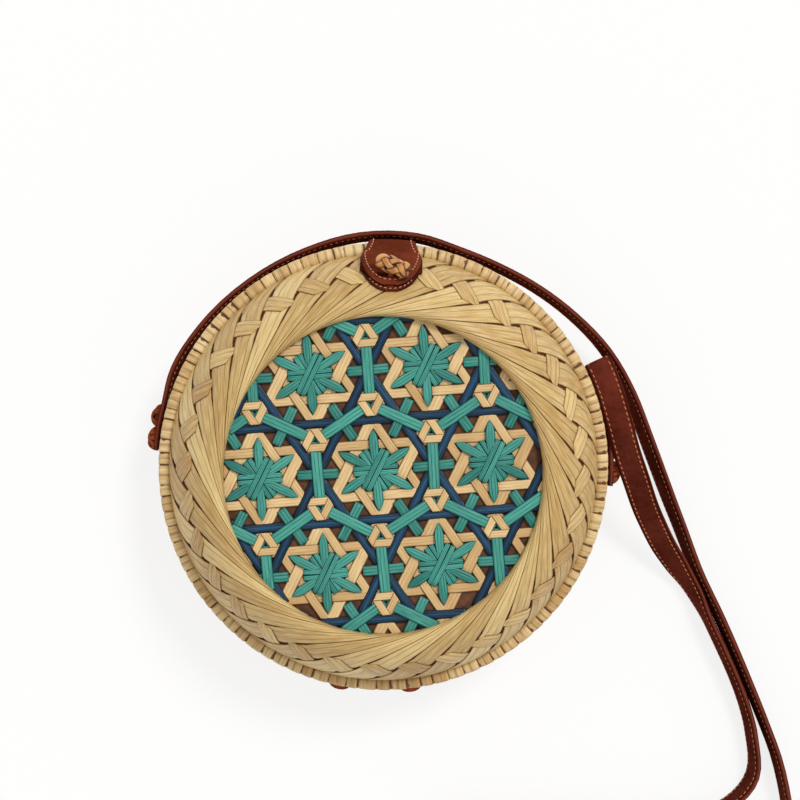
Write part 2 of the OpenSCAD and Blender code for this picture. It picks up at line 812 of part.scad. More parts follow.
module back_rim_binding() {
    color("Wheat") shell_frame(false) rim_binding();
}

module back_lining() {
    color("Sienna") shell_frame(false) lining();
}

module back_natural_splints() {
    color("BurlyWood") shell_frame(false) splint_rows(natural_rows, natural_w);
}

module back_navy_splints() {
    color([0.11, 0.25, 0.41]) shell_frame(false) splint_rows(navy_rows, navy_w);
}

module back_star_splints() {
    color([0.27, 0.58, 0.53]) shell_frame(false) stars();
}

module back_cross_splints() {
    color([0.27, 0.58, 0.53]) shell_frame(false) crosses();
}

module back_knot_splints() {
    color("BurlyWood") shell_frame(false) knots();
}

// Sub-parts of the front shell, which is the lid

module front_wall() {
    color("Tan") wall(true);
}

module front_swirl() {
    color("BurlyWood")
        difference() {
            shell_frame(true) swirl_splints();
            toggle_bore(seat_gap);
        }
}

module front_plait() {
    color("Tan")
        difference() {
            shell_frame(true) plait_splints();
            toggle_bore(seat_gap);
        }
}

module front_outer_hoop() {
    color("Peru") shell_frame(true) outer_hoop();
}

module front_inner_hoop() {
    color("Peru") shell_frame(true) inner_hoop();
}

module front_rim_binding() {
    color("Wheat") shell_frame(true) rim_binding();
}

module front_lining() {
    color("Sienna") shell_frame(true) lining();
}

module front_natural_splints() {
    color("BurlyWood") shell_frame(true) splint_rows(natural_rows, natural_w);
}

module front_navy_splints() {
    color([0.11, 0.25, 0.41]) shell_frame(true) splint_rows(navy_rows, navy_w);
}

module front_star_splints() {
    color([0.27, 0.58, 0.53]) shell_frame(true) stars();
}

module front_cross_splints() {
    color([0.27, 0.58, 0.53]) shell_frame(true) crosses();
}

module front_knot_splints() {
    color("BurlyWood") shell_frame(true) knots();
}

// Leather and toggle

module hinge_lace_left() {
    color([0.55, 0.27, 0.18]) hinge_lace(-lace_turn);
}

module hinge_lace_right() {
    color([0.55, 0.27, 0.18]) hinge_lace(lace_turn);
}

module strap() {
    color([0.38, 0.16, 0.1])
        difference() {
            strap_body();
            for (angle = side_knot_angles) thong_bore(angle);
        }
}

module strap_knot_left_upper() {
    color([0.45, 0.22, 0.14]) side_knot(side_knot_angles[0]);
}

module strap_knot_left_lower() {
    color([0.45, 0.22, 0.14]) side_knot(side_knot_angles[1]);
}

module strap_knot_right_upper() {
    color([0.45, 0.22, 0.14]) side_knot(side_knot_angles[2]);
}

module strap_knot_right_lower() {
    color([0.45, 0.22, 0.14]) side_knot(side_knot_angles[3]);
}

module flap_root() {
    color([0.43, 0.21, 0.12]) flap_root_body();
}

module closure_flap() {
    color([0.43, 0.21, 0.12]) closure_flap_body();
}

module closure_patch() {
    color([0.4, 0.19, 0.11]) patch_body();
}

module toggle_knot() {
    color([0.7, 0.45, 0.22]) toggle_knot_body();
}

module toggle_stem() {
    color([0.55, 0.33, 0.17]) toggle_stem_body();
}

back_wall();
back_swirl();
back_plait();
back_outer_hoop();
back_inner_hoop();
back_rim_binding();
back_lining();
back_natural_splints();
back_navy_splints();
back_star_splints();
back_cross_splints();
back_knot_splints();
front_wall();
front_swirl();
front_plait();
front_outer_hoop();
front_inner_hoop();
front_rim_binding();
front_lining();
front_natural_splints();
front_navy_splints();
front_star_splints();
front_cross_splints();
front_knot_splints();
hinge_lace_left();
hinge_lace_right();
strap();
strap_knot_left_upper();
strap_knot_left_lower();
strap_knot_right_upper();
strap_knot_right_lower();
flap_root();
closure_flap();
closure_patch();
toggle_knot();
toggle_stem();
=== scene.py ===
import math
import random

import bmesh
import bpy
from mathutils import Matrix, Vector


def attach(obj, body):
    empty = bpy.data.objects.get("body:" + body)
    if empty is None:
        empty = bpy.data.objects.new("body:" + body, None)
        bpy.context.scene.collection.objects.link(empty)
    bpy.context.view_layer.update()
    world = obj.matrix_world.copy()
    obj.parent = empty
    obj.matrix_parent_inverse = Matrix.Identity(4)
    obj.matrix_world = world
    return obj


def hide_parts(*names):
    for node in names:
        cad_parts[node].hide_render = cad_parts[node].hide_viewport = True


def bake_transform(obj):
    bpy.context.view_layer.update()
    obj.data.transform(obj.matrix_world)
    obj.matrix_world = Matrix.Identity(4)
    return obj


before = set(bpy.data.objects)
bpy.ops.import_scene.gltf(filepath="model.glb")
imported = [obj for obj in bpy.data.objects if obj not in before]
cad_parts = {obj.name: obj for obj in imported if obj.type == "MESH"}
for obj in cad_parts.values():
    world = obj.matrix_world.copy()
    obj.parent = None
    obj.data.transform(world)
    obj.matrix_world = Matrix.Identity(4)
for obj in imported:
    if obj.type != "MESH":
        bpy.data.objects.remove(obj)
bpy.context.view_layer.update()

# Studio
# A white table under a white dome, one broad soft lamp up and to the right, and a camera that stands
# nearly over the bag, leaning a little towards its top.


class Value:
    """A socket in a node tree, on which +, - and * add Math nodes."""

    def __init__(self, nodes, socket):
        self.nodes = nodes
        self.socket = socket

    def math(self, operation, *others):
        return self.nodes.math(operation, self, *others)

    def __add__(self, other):
        return self.math("ADD", other)

    def __sub__(self, other):
        return self.math("SUBTRACT", other)

    def __mul__(self, other):
        return self.math("MULTIPLY", other)

    def __rsub__(self, other):
        return self.nodes.math("SUBTRACT", other, self)

    __radd__ = __add__
    __rmul__ = __mul__

    def within(self, low, high):
        """0 below low, 1 above high and smooth between."""
        return self.nodes.node(
            "ShaderNodeMapRange", {"interpolation_type": "SMOOTHSTEP"}, {0: self, 1: low, 2: high}
        )


class Nodes:
    """A node tree, and the one way in which nodes come into it."""

    def __init__(self, tree):
        self.tree = tree

    def node(self, kind, settings=None, values=None, out=0):
        made = self.tree.nodes.new(kind)
        for key, setting in (settings or {}).items():
            setattr(made, key, setting)
        for key, value in (values or {}).items():
            self.give(made.inputs[key], value)
        return Value(self, made.outputs[out])

    def give(self, socket, value):
        if isinstance(value, Value):
            self.tree.links.new(value.socket, socket)
        else:
            socket.default_value = value

    def math(self, operation, *terms):
        return self.node("ShaderNodeMath", {"operation": operation}, dict(enumerate(terms)))

    def vector(self, x, y, z=0.0):
        return self.node("ShaderNodeCombineXYZ", None, {0: x, 1: y, 2: z})


class Finish(Nodes):
    """A material and its nodes."""

    def __init__(self, name):
        self.material = bpy.data.materials.new(name)
        self.material.use_nodes = True
        super().__init__(self.material.node_tree)
        self.shader = self.tree.nodes["Principled BSDF"]

    def set(self, **values):
        """Values for the shader's own sockets, with spaces written as underscores."""
        for key, value in values.items():
            self.give(self.shader.inputs[key.replace("_", " ")], value)

    def mix(self, share, first, second):
        return self.node("ShaderNodeMix", {"data_type": "RGBA"}, {0: share, 6: first, 7: second}, out=2)

    def place(self, scale=(1, 1, 1)):
        """Object coordinates in metres, times a scale."""
        spot = self.node("ShaderNodeTexCoord", out="Object")
        return self.node("ShaderNodeVectorMath", {"operation": "MULTIPLY"}, {0: spot, 1: scale})

    def noise(self, place, scale, detail):
        return self.node("ShaderNodeTexNoise", None, {"Vector": place, "Scale": scale, "Detail": detail})

    def number(self, attribute):
        """A number that the mesh holds at each of its points."""
        return self.node("ShaderNodeAttribute", {"attribute_name": attribute}, out="Fac")

    def bump(self, height, distance):
        return self.node("ShaderNodeBump", None, {"Height": height, "Distance": distance})

    def split(self, vector):
        """The three numbers of a vector."""
        made = self.node("ShaderNodeSeparateXYZ", None, {0: vector}).socket.node
        return [Value(self, socket) for socket in made.outputs]


def colour(red, green, blue):
    """A colour given in 0 to 255 as a screen shows it, made linear."""
    parts = [c / 255 for c in (red, green, blue)]
    return tuple(c / 12.92 if c <= 0.04045 else ((c + 0.055) / 1.055) ** 2.4 for c in parts) + (1.0,)


def new_piece(name, vertices, faces, finish):
    mesh = bpy.data.meshes.new(name)
    mesh.from_pydata([tuple(v) for v in vertices], [], faces)
    mesh.materials.append(finish.material)
    mesh.polygons.foreach_set("use_smooth", [True] * len(mesh.polygons))
    mesh.update()
    piece = bpy.data.objects.new(name, mesh)
    bpy.context.scene.collection.objects.link(piece)
    return piece


table_finish = Finish("white_table")
seen = table_finish.node("ShaderNodeLightPath", out="Is Camera Ray")
for ray in ("Is Glossy Ray", "Is Transmission Ray"):
    seen = seen.math("MAXIMUM", table_finish.node("ShaderNodeLightPath", out=ray))
table_finish.set(Base_Color=(0.9, 0.9, 0.9, 1), Roughness=0.9)
glow = table_finish.node("ShaderNodeEmission", None, {"Color": (1, 1, 1, 1), "Strength": 1.0})
lit = Value(table_finish, table_finish.shader.outputs[0])
table_mix = table_finish.node("ShaderNodeMixShader", None, {0: seen * 0.8, 1: lit, 2: glow})
table_finish.give(table_finish.tree.nodes["Material Output"].inputs["Surface"], table_mix)
table_reach = 6
# The lowest splints stand out a little past the CAD wall that rests on 0
table_top = -0.0008
table_corners = ((-1, -1), (1, -1), (1, 1), (-1, 1))
table_points = [(x * table_reach, y * table_reach, table_top) for x, y in table_corners]
table = new_piece("table", table_points, [(0, 1, 2, 3)], table_finish)

sky = bpy.data.worlds.new("sky")
sky.use_nodes = True
sky_shader = sky.node_tree.nodes["Background"]
sky_shader.inputs["Color"].default_value = (1.0, 0.985, 0.95, 1)
sky_shader.inputs["Strength"].default_value = 0.68
bpy.context.scene.world = sky

lamp_data = bpy.data.lights.new("window", "SUN")
lamp_data.energy = 1.68
lamp_data.angle = math.radians(14)
lamp_data.color = (1.0, 0.99, 0.97)
lamp = bpy.data.objects.new("window", lamp_data)
lamp.rotation_euler = Vector((0.42, 0.62, 1.0)).to_track_quat("Z", "Y").to_euler()
bpy.context.scene.collection.objects.link(lamp)

middle = Vector((0, 0, 0.04))
camera_distance = 0.85
camera_tilt = math.radians(6)
camera_roll = math.radians(2.2)
# In pixels of the photograph's frame
frame_width = 800
focal = 1900
aim_right, aim_up = 16.5, 67
sensor = 36
away = Vector((0, math.sin(camera_tilt), math.cos(camera_tilt)))
level = Vector((1, 0, 0))
upward = away.cross(level)
right = level * math.cos(camera_roll) + upward * math.sin(camera_roll)
upward = upward * math.cos(camera_roll) - level * math.sin(camera_roll)
ahead = (-away + right * (aim_right / focal) + upward * (aim_up / focal)).normalized()
right = (right - ahead * right.dot(ahead)).normalized()
upward = right.cross(ahead)
camera_data = bpy.data.cameras.new("camera")
camera_data.sensor_width = sensor
camera_data.lens = focal / frame_width * sensor
camera_data.clip_start = 0.01
camera = bpy.data.objects.new("camera", camera_data)
turned = Matrix((right, upward, -ahead)).transposed()
camera.matrix_world = Matrix.Translation(middle + away * camera_distance) @ turned.to_4x4()
bpy.context.scene.collection.objects.link(camera)
bpy.context.scene.camera = camera
bpy.context.scene.view_settings.view_transform = "Standard"

# Walls
# Each shell is a close plait of bamboo. Its outer side is coloured dark brown under the splints that show,
# and its inner side is bare and pale. The CAD walls stay, and get their two sides from this finish.
half_depth = 0.04
ridge_r = 0.0715
wall_r = 0.0952
bulge_power = 1.25
# Strips of the bare inner plait round the bag, and its courses in a metre of depth
inner_strips = 96
inner_courses = 190


def shell_point(angle, turn, out):
    """A point over the shell's curve, for a front shell whose rim lies at height 0. Angles in degrees."""
    a, turned_by = math.radians(angle), math.radians(turn)
    r = ridge_r + (wall_r - ridge_r + out) * math.cos(a) ** bulge_power
    return Vector((
        r * math.cos(turned_by), r * math.sin(turned_by), (half_depth + out) * math.sin(a) ** bulge_power
    ))


def on_side(side, point):
    """The front shell stands on the plane of the rims, and the back one is the same turned over."""
    if side == "front":
        return Vector((point[0], point[1], half_depth + point[2]))
    return Vector((-point[0], point[1], half_depth - point[2]))


def lines(value):
    """1 where a value is a whole number, and 0 over most of the way between."""
    return (value.math("FRACT") - 0.5).math("ABSOLUTE").within(0.36, 0.5)


def refinish(node, finish):
    """Gives a CAD node that stays a finish of this scene."""
    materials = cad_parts[node].data.materials
    materials.clear()
    materials.append(finish.material)


wall_finish = Finish("bamboo_wall")
x, y, z = wall_finish.split(wall_finish.place())
height = z - half_depth
turn = y.math("ARCTAN2", x) * (inner_strips / (2 * math.pi))
course = height.math("ABSOLUTE") * inner_courses
crossing = (turn.math("FLOOR") + course.math("FLOOR")).math("MODULO", 2.0).math("ABSOLUTE")
edge = lines(turn) * (1 - crossing) + lines(course) * crossing
fine = wall_finish.noise(wall_finish.place(), 900, 3)
bare = wall_finish.mix(fine, colour(205, 165, 112), colour(224, 190, 140))
inner = wall_finish.mix(edge * 0.8, bare, colour(120, 84, 48))
outer = wall_finish.mix(fine.within(0.35, 0.7), colour(76, 36, 22), colour(108, 60, 34))
# The shell's own curve: 1 on the outer side of the wall and less than 0.94 on its inner side
radius = (x * x + y * y).math("SQRT")
out_share = (radius - ridge_r).math("MAXIMUM", 0.0) * (1 / (wall_r - ridge_r))
up_share = height.math("ABSOLUTE") * (1 / half_depth)
curve = out_share.math("POWER", 2 / bulge_power) + up_share.math("POWER", 2 / bulge_power)
is_outer = curve.within(0.945, 0.965)
wall_finish.set(
    Base_Color=wall_finish.mix(is_outer, inner, outer), Roughness=0.7, Specular_IOR_Level=0.1,
    Normal=wall_finish.bump(edge * -1.0 + fine * 0.2, 0.0004),
)
for node in ("back_wall", "front_wall"):
    refinish(node, wall_finish)

# Linings
# A disc of brown cotton cloth lies behind each panel, stretched flat and held by the ridge's lip. It
# shows through the gaps of the weave.
lining_r = 0.0703
lining_t0, lining_t1 = 0.0337, 0.0343
lining_sag = 0.00004
threads_in_metre = 1500
body_of_side = {"front": "lid", "back": "back"}

lining_finish = Finish("lining_cloth")
warp, weft, _ = lining_finish.split(lining_finish.place((threads_in_metre, threads_in_metre, 0)))
weave = warp.math("SINE") * weft.math("SINE")
patches = lining_finish.noise(lining_finish.place(), 80, 3).within(0.3, 0.7)
lining_colour = lining_finish.mix(patches, colour(80, 46, 25), colour(112, 68, 38))
lining_finish.set(
    Base_Color=lining_finish.mix(weave.within(-0.5, 0.9) * 0.35, lining_colour, colour(78, 42, 22)),
    Roughness=0.85, Sheen_Weight=0.3, Normal=lining_finish.bump(weave, 0.0002),
)


def lining_disc(side):
    """Two faces of cloth, joined at their outer edge. Each is rings of points, with triangles in the
    innermost."""
    rings, steps = 12, 72
    vertices, faces = [], []
    for height in (lining_t1, lining_t0):
        for ring in range(rings + 1):
            r = lining_r * ring / rings
            for step in range(steps):
                spin = 2 * math.pi * step / steps
                sag = lining_sag * math.sin(3 * spin + ring) if ring < rings else 0
                vertices.append(on_side(side, (r * math.cos(spin), r * math.sin(spin), height + sag)))
    count = (rings + 1) * steps
    for ring in range(rings):
        for step in range(steps):
            a, b = ring * steps + step, ring * steps + (step + 1) % steps
            faces.append((a, a + steps, b + steps, b) if ring else (a, a + steps, b + steps))
            under = (a + count, b + count, b + count + steps, a + count + steps)
            faces.append(under if ring else (a + count, b + count + steps, a + count + steps))
    for step in range(steps):
        a, b = rings * steps + step, rings * steps + (step + 1) % steps
        faces.append((a, a + count, b + count, b))
    return vertices, faces


for side in ("back", "front"):
    vertices, faces = lining_disc(side)
    lining = new_piece(side + "_lining_cloth", vertices, faces, lining_finish)
    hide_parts(side + "_lining")
    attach(lining, body_of_side[side])

# Natural splints
# Split bamboo in its own colour, woven in three directions through the panel. Each splint is a flat
# strip with rounded edges, which goes over one of the crossing rows and under the other.
star_pitch = 0.0497
line_pitch = star_pitch * math.sin(math.radians(60)) / 4
weave_turn = 6.6
weave_middle = Vector((-0.0033, 0.0024))
weave_t = 0.03528
weave_rise = 0.00042
natural_rows = (-5, -3, -1, 1, 3, 5)
navy_rows = (-6, -2, 2, 6)
# How far from the bag's axis the splints reach, and how far from a crossing their waves
splint_reach = 0.0694
wave_reach, wave_step = 0.0058, 0.0014
row_shift, row_slant = 0.0003, 0.006
natural_widths, natural_t = (0.0043, 0.0051, 0.0040), 0.00042
# Across a splint from -1 to 1, and up through its thickness in shares of it
splint_section = (
    (-0.98, -0.5), (0.98, -0.5), (1.0, 0.1), (0.82, 0.38), (0.3, 0.5), (-0.3, 0.5), (-0.82, 0.38), (-1.0, 0.1)
)


def along(direction):
    a = math.radians(60 * direction + weave_turn)
    return Vector((math.cos(a), math.sin(a)))


def square_to(v):
    return Vector((-v[1], v[0]))


def bell(distance, reach):
    share = min(abs(distance) / reach, 1)
    return (1 + math.cos(math.pi * share)) / 2


def crossings(direction, row):
    """Where the other rows cross this one, and 1 or -1 as it goes over or under them."""
    found = []
    run, aside = along(direction), square_to(along(direction))
    for step, over in ((1, 1), (2, -1)):
        other = square_to(along(direction + step))
        for other_row in natural_rows + navy_rows:
            found.append(((other_row - row * aside.dot(other)) * line_pitch / run.dot(other), over))
    return found


def tube(rows, ring, start=0):
    """Faces of a closed tube whose points come row by row, with a flat face at each end."""
    faces = []
    for i in range(rows - 1):
        for j in range(ring):
            a, b = start + i * ring + j, start + i * ring + (j + 1) % ring
            faces.append((a, b, b + ring, a + ring))
    faces.append(tuple(start + j for j in reversed(range(ring))))
    faces.append(tuple(start + (rows - 1) * ring + j for j in range(ring)))
    return faces


def number_points(piece, name, numbers):
    attribute = piece.data.attributes.new(name, "FLOAT", "POINT")
    attribute.data.foreach_set("value", numbers)


def strip_piece(name, vertices, faces, places, tones, finish):
    """A piece made of strips, with each point's place across and along its strip, and its tone."""
    piece = new_piece(name, vertices, faces, finish)
    uv = piece.data.uv_layers.new(name="lie")
    for loop in piece.data.loops:
        uv.data[loop.index].uv = places[loop.vertex_index]
    number_points(piece, "tone", tones)
    return piece


def place_on_strip(across, travelled, tone):
    """0 to 1 across a strip and centimetres along it, from a start of its own."""
    return (across, travelled * 100 + tone * 37)


def strips_mesh(name, strips, side, finish, section=splint_section):
    """A mesh of closed strips. Each is a list of points with the way across, the way up, half a width
    and a thickness, which is empty where the strip lies outside the panel, and a tone."""
    vertices, faces, places, tones = [], [], [], []
    for points, tone in strips:
        if not points:
            continue
        faces += tube(len(points), len(section), len(vertices))
        travelled = 0.0
        for i, (point, across, up, half, thick) in enumerate(points):
            if i:
                travelled += (Vector(point) - Vector(points[i - 1][0])).length
            for s, h in section:
                spot = Vector(point) + Vector(across) * (s * half) + Vector(up) * (h * thick)
                vertices.append(on_side(side, spot) if side else spot)
                places.append(place_on_strip(s / 2 + 0.5, travelled, tone))
                tones.append(tone)
    return strip_piece(name, vertices, faces, places, tones, finish)


def row_strip(direction, row, width, thick, extra, chance):
    """One splint of the panel, from lip to lip, with its waves over and under the rows it crosses."""
    run, aside = along(direction), square_to(along(direction))
    foot = weave_middle + aside * (row * line_pitch + chance.uniform(-row_shift, row_shift))
    run = (run + aside * chance.uniform(-row_slant, row_slant)).normalized()
    aside = square_to(run)
    b = foot.dot(run)
    reach = math.sqrt(max(b * b - foot.length_squared + splint_reach ** 2, 0))
    start, end = -b - reach, -b + reach
    steps = max(int((end - start) / wave_step), 2)
    meets = crossings(direction, row)
    points = []
    for i in range(steps + 1):
        s = start + (end - start) * i / steps
        lift = max(-1, min(1, sum(over * bell(s - place, wave_reach) for place, over in meets)))
        spot = foot + run * s
        if spot.length > splint_reach:
            spot = spot.normalized() * splint_reach
        height = weave_t + weave_rise * lift + extra
        points.append(((spot[0], spot[1], height), (aside[0], aside[1], 0), (0, 0, 1), width / 2, thick))
    return points


def row_strips(rows, widths, thick, extra, chance):
    return [
        (row_strip(direction, row, widths[direction], thick, extra, chance), chance.random())
        for direction in range(3) for row in rows
    ]


def long_edges(u, wide):
    """1 at both long edges of a strip, falling to 0 at a share of its width from them."""
    return 1 - (1 - u.within(1 - wide, 1.0)) * u.within(0.0, wide)


def bamboo(name, pale, deep, groove_and_edge_shade_colour, grooves, groove_share, rough, edge_shade_strength, shaded_edge_width=0.1):
    """Split bamboo: fine grain along the strip, a few long grooves, and long edges darkened as painted shade,
    where the strips meet and curve away.
    """
    finish = Finish(name)
    u, v, _ = finish.split(finish.node("ShaderNodeUVMap", {"uv_map": "lie"}))
    tone = finish.number("tone")
    fibres = finish.noise(finish.vector(u * 26, v * 1.3, tone * 90), 1.0, 3)
    clouds = finish.noise(finish.vector(u * 2, v * 1.1, tone * 50), 1.0, 2)
    inside = (1 - u.within(0.86, 0.97)) * u.within(0.03, 0.14)
    groove = lines((u + (clouds - 0.5) * 0.05) * grooves)
    groove = groove * inside * groove_share * clouds.within(0.25, 0.6)
    # Painted shade: each strip darkens towards both long edges, standing in for the shade where strips meet
    # and curve away.
    shaded_edge = long_edges(u, shaded_edge_width)
    body = finish.mix((fibres * 0.85 + clouds * 0.3 + tone * 0.28 - 0.21).within(0.12, 0.9), deep, pale)
    body = finish.mix(groove, body, groove_and_edge_shade_colour)
    body = finish.mix(shaded_edge * edge_shade_strength, body, groove_and_edge_shade_colour)
    finish.set(
        Base_Color=body, Roughness=rough, Specular_IOR_Level=0.28,
        Normal=finish.bump(fibres * 0.25 - groove - shaded_edge * 0.6, 0.00025),
    )
    return finish


natural_finish = bamboo(
    "natural_bamboo", colour(236, 206, 154), colour(186, 146, 92), colour(104, 62, 30), grooves=3,
    groove_share=0.34, rough=0.42, edge_shade_strength=0.85, shaded_edge_width=0.14,
)
chance = random.Random(11)
for side in ("back", "front"):
    strips = row_strips(natural_rows, natural_widths, natural_t, 0, chance)
    splints = strips_mesh(side + "_natural_weave", strips, side, natural_finish)
    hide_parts(side + "_natural_splints")
    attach(splints, body_of_side[side])

# Navy splints
# Dyed bamboo in the same three directions, which frames each star with a wide navy hexagon. It is a
# little wider and more domed than the natural splints.
navy_width, navy_t, navy_lift = 0.0044, 0.00048, 0.00008
# The navy's painted edge shade reaches nearly to its middle and is almost black, so only a bright middle line
# is left, as painted shading of its dome.
navy_finish = bamboo(
    "navy_bamboo", colour(42, 92, 128), colour(12, 42, 68), colour(1, 5, 12), grooves=3, groove_share=0.6,
    rough=0.36, edge_shade_strength=0.95, shaded_edge_width=0.48,
)
for side in ("back", "front"):
    strips = row_strips(navy_rows, (navy_width,) * 3, navy_t, navy_lift, chance)
    splints = strips_mesh(side + "_navy_weave", strips, side, navy_finish)
    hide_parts(side + "_navy_splints")
    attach(splints, body_of_side[side])

# Stars
# Teal splints tucked into the weave: three arms of two narrow strips each, laid over each other, and
# six pointed leaves between them whose tips reach over the next row.
star_places = [Vector((0, 0))] + [along(k) * star_pitch for k in range(6)]
star_t = 0.0363
panel_reach = 0.0692
arm_half, arm_width, arm_thick = 0.0096, 0.0023, 0.0004
arm_gap, arm_lift, arm_layer, arm_dip = 0.00117, 0.0001, 0.00032, 0.0004
leaf_root, leaf_tip, leaf_width, leaf_thick = 0.002, 0.0178, 0.0042, 0.0005
leaf_drop, leaf_arch = 0.0002, 0.0006


def inside_panel(points):
    """The stretch of a strip that lies inside the lip, with its ends cut there."""
    kept = []
    for i, p in enumerate(points):
        r = Vector(p[0][:2]).length
        if i:
            q = points[i - 1]
            before = Vector(q[0][:2]).length
            if (r > panel_reach) != (before > panel_reach):
                share = (panel_reach - before) / (r - before)
                kept.append((tuple(Vector(q[0]).lerp(Vector(p[0]), share)),) + p[1:])
        if r <= panel_reach:
            kept.append(p)
    return kept if len(kept) > 1 else []


def flat_strip(middle, direction, start, end, width, height, thick, taper=None, steps=12, dip=0.0, slant=0.0):
    """A straight strip on the panel. height is a number or a function of the share of its length, as
    is taper, its width's share. dip is how far both ends sink, and slant how they are cut."""
    run = Vector((math.cos(math.radians(direction)), math.sin(math.radians(direction))))
    aside = square_to(run)
    points = []
    for i in range(steps + 1):
        share = i / steps
        spot = middle + run * (start + (end - start) * share)
        half = width / 2 * (taper(share) if taper else 1)
        level = (height(share) if callable(height) else height) - dip * abs(2 * share - 1) ** 3
        across = aside + run * (slant * (2 * share - 1))
        points.append(((spot[0], spot[1], level), (across[0], across[1], 0), (0, 0, 1), half, thick))
    return inside_panel(points)


def leaf_taper(share):
    """A leaf is narrow at its root, widest past its middle, and comes to a blunt point."""
    if share < 0.62:
        return 0.45 + 0.55 * math.sin(share / 0.62 * math.pi / 2)
    return max(1 - ((share - 0.62) / 0.38) ** 2.2, 0.06)


def leaf_height(share):
    return star_t - leaf_drop + leaf_arch * math.sin(share * math.pi) ** 0.8


teal_finish = bamboo(
    "teal_bamboo", colour(86, 176, 160), colour(18, 92, 86), colour(4, 34, 36), grooves=3, groove_share=0.75,
    rough=0.4, edge_shade_strength=0.85, shaded_edge_width=0.16,
)


def star_strips(chance):
    strips = []
    for place in star_places:
        spot = weave_middle + place
        for k in range(6):
            way = 60 * k + 30 + weave_turn + chance.uniform(-2, 2)
            tip = leaf_tip + chance.uniform(-0.0006, 0.0004)
            leaf = flat_strip(spot, way, leaf_root, tip, leaf_width, leaf_height, leaf_thick, leaf_taper, 16)
            strips.append((leaf, chance.random()))
        # The arm that runs up to the right lies on top, and the level one in the middle
        for layer, k in enumerate((2, 0, 1)):
            for shift in (-arm_gap, arm_gap):
                way = 60 * k + weave_turn + chance.uniform(-1, 1)
                arm = flat_strip(
                    spot + square_to(along(k)) * shift, way, -arm_half, arm_half, arm_width,
                    lambda share: star_t + arm_lift + layer * arm_layer * math.sin(share * math.pi) ** 0.5,
                    arm_thick, dip=arm_dip,
                )
                strips.append((arm, 0.35 + 0.65 * chance.random()))
    return strips


for side in ("back", "front"):
    stars = strips_mesh(side + "_stars", star_strips(chance), side, teal_finish)
    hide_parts(side + "_star_splints")
    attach(stars, body_of_side[side])

# Crosses
# Two teal strips cross half-way between each pair of stars, over the navy rows. The one that points
# from knot to knot is long and lies on top, and the short one runs from star to star.


def polar(distance, degrees):
    a = math.radians(degrees + weave_turn)
    return Vector((distance * math.cos(a), distance * math.sin(a)))


cross_places = [(star_pitch / 2, 60 * k, 60 * k) for k in range(6)]
cross_places += [(star_pitch * math.sin(math.radians(60)), 60 * k + 30, 60 * k + 120) for k in range(6)]
cross_lean = math.degrees(math.atan(math.sqrt(3) / 5))
cross_places += [
    (star_pitch * math.sqrt(1.75), 60 * k + s * cross_lean, 60 * k + s * 60)
    for k in range(6) for s in (-1, 1)
]
cross_thick = 0.00045
# Turn from the cross's own way, half length, width, height over the stars, steps, how far the ends
# dip, and the darkest tone
cross_arms = (
    (0, 0.0088, 0.0045, -0.00005, 14, 0.0007, 0.1),
    (90, 0.0138, 0.0049, 0.00042, 18, 0.0011, 0.5),
)


def cross_strips(chance):
    strips = []
    for distance, turn, way in cross_places:
        spot = weave_middle + polar(distance, turn)
        for square, half, width, rise, steps, dip, tone in cross_arms:
            turned = way + square + weave_turn + chance.uniform(-1.5, 1.5)
            arm = flat_strip(
                spot, turned, -half, half, width, star_t + rise, cross_thick, steps=steps, dip=dip
            )
            strips.append((arm, tone + 0.5 * chance.random()))
    return strips


for side in ("back", "front"):
    crosses = strips_mesh(side + "_crosses", cross_strips(chance), side, teal_finish)
    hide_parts(side + "_cross_splints")
    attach(crosses, body_of_side[side])

# Knots
# A natural splint folded three times round the place where navy rows meet leaves three short strips
# about a small triangular hole, each over the next, with the crosses' ends tucked under.
knot_places = [(star_pitch / math.sqrt(3), 60 * k + 30, 60 * k + 210) for k in range(6)]
knot_places += [(2 * star_pitch / math.sqrt(3), 60 * k + 30, 60 * k + 30) for k in range(6)]
fold_offset, fold_half, fold_width, fold_thick = 0.0028, 0.0045, 0.0034, 0.00042
fold_lift, fold_tilt, fold_cut = 0.00055, 0.0007, 0.56


def knot_strips(chance):
    strips = []
    for distance, turn, way in knot_places:
        spot = weave_middle + polar(distance, turn)
        for k in range(3):
            facing = way + 120 * k + 180
            fold = flat_strip(
                spot + polar(fold_offset, facing), facing + weave_turn + 90, -fold_half, fold_half,
                fold_width, lambda share: star_t + fold_lift + fold_tilt * (share - 0.5), fold_thick,
                slant=fold_cut,
            )
            strips.append((fold, 0.3 + 0.7 * chance.random()))
    return strips


for side in ("back", "front"):
    knots = strips_mesh(side + "_knots", knot_strips(chance), side, natural_finish)
    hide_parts(side + "_knot_splints")
    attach(knots, body_of_side[side])

# Plaited band
# Broad natural splints leave the ridge at a tangent and sweep to the rim, and others cross them the
# other way. From the ridge outward only the first kind shows, then one row of the crossing kind, then
# the first kind again down the side.
splint_count = 32
splint_step = 360 / splint_count
panel_r = 0.0689
row_angle = 49
# Widths as shares of the step between splints, heights over the shell in metres
sweep_share, sweep_narrower, row_share = 0.985, 0.1, 0.62
sweep_lift, sweep_dip, row_lift, row_rise = 0.00062, 0.00042, 0.0002, 0.00052
lip_drop, splint_arch, band_thick = 0.00012, 0.00012, 0.0004
# The sweep narrows from the first radius over the next length, and its widths vary past the last
narrow_r, narrow_over, vary_r = 0.0775, 0.004, 0.08


def angle_at(r):
    return math.degrees(math.acos(((r - ridge_r) / (wall_r - ridge_r)) ** (1 / bulge_power)))


def swing(angle):
    """Turn between a splint and the radius at the panel's edge, with some more down the side."""
    r = shell_point(angle, 0, 0).xy.length
    extra = 8 * ((row_angle - 4 - angle) / 45) ** 2 if angle < row_angle - 4 else 0
    return math.degrees(math.acos(min(panel_r / r, 1))) + extra


row_swing = swing(row_angle)


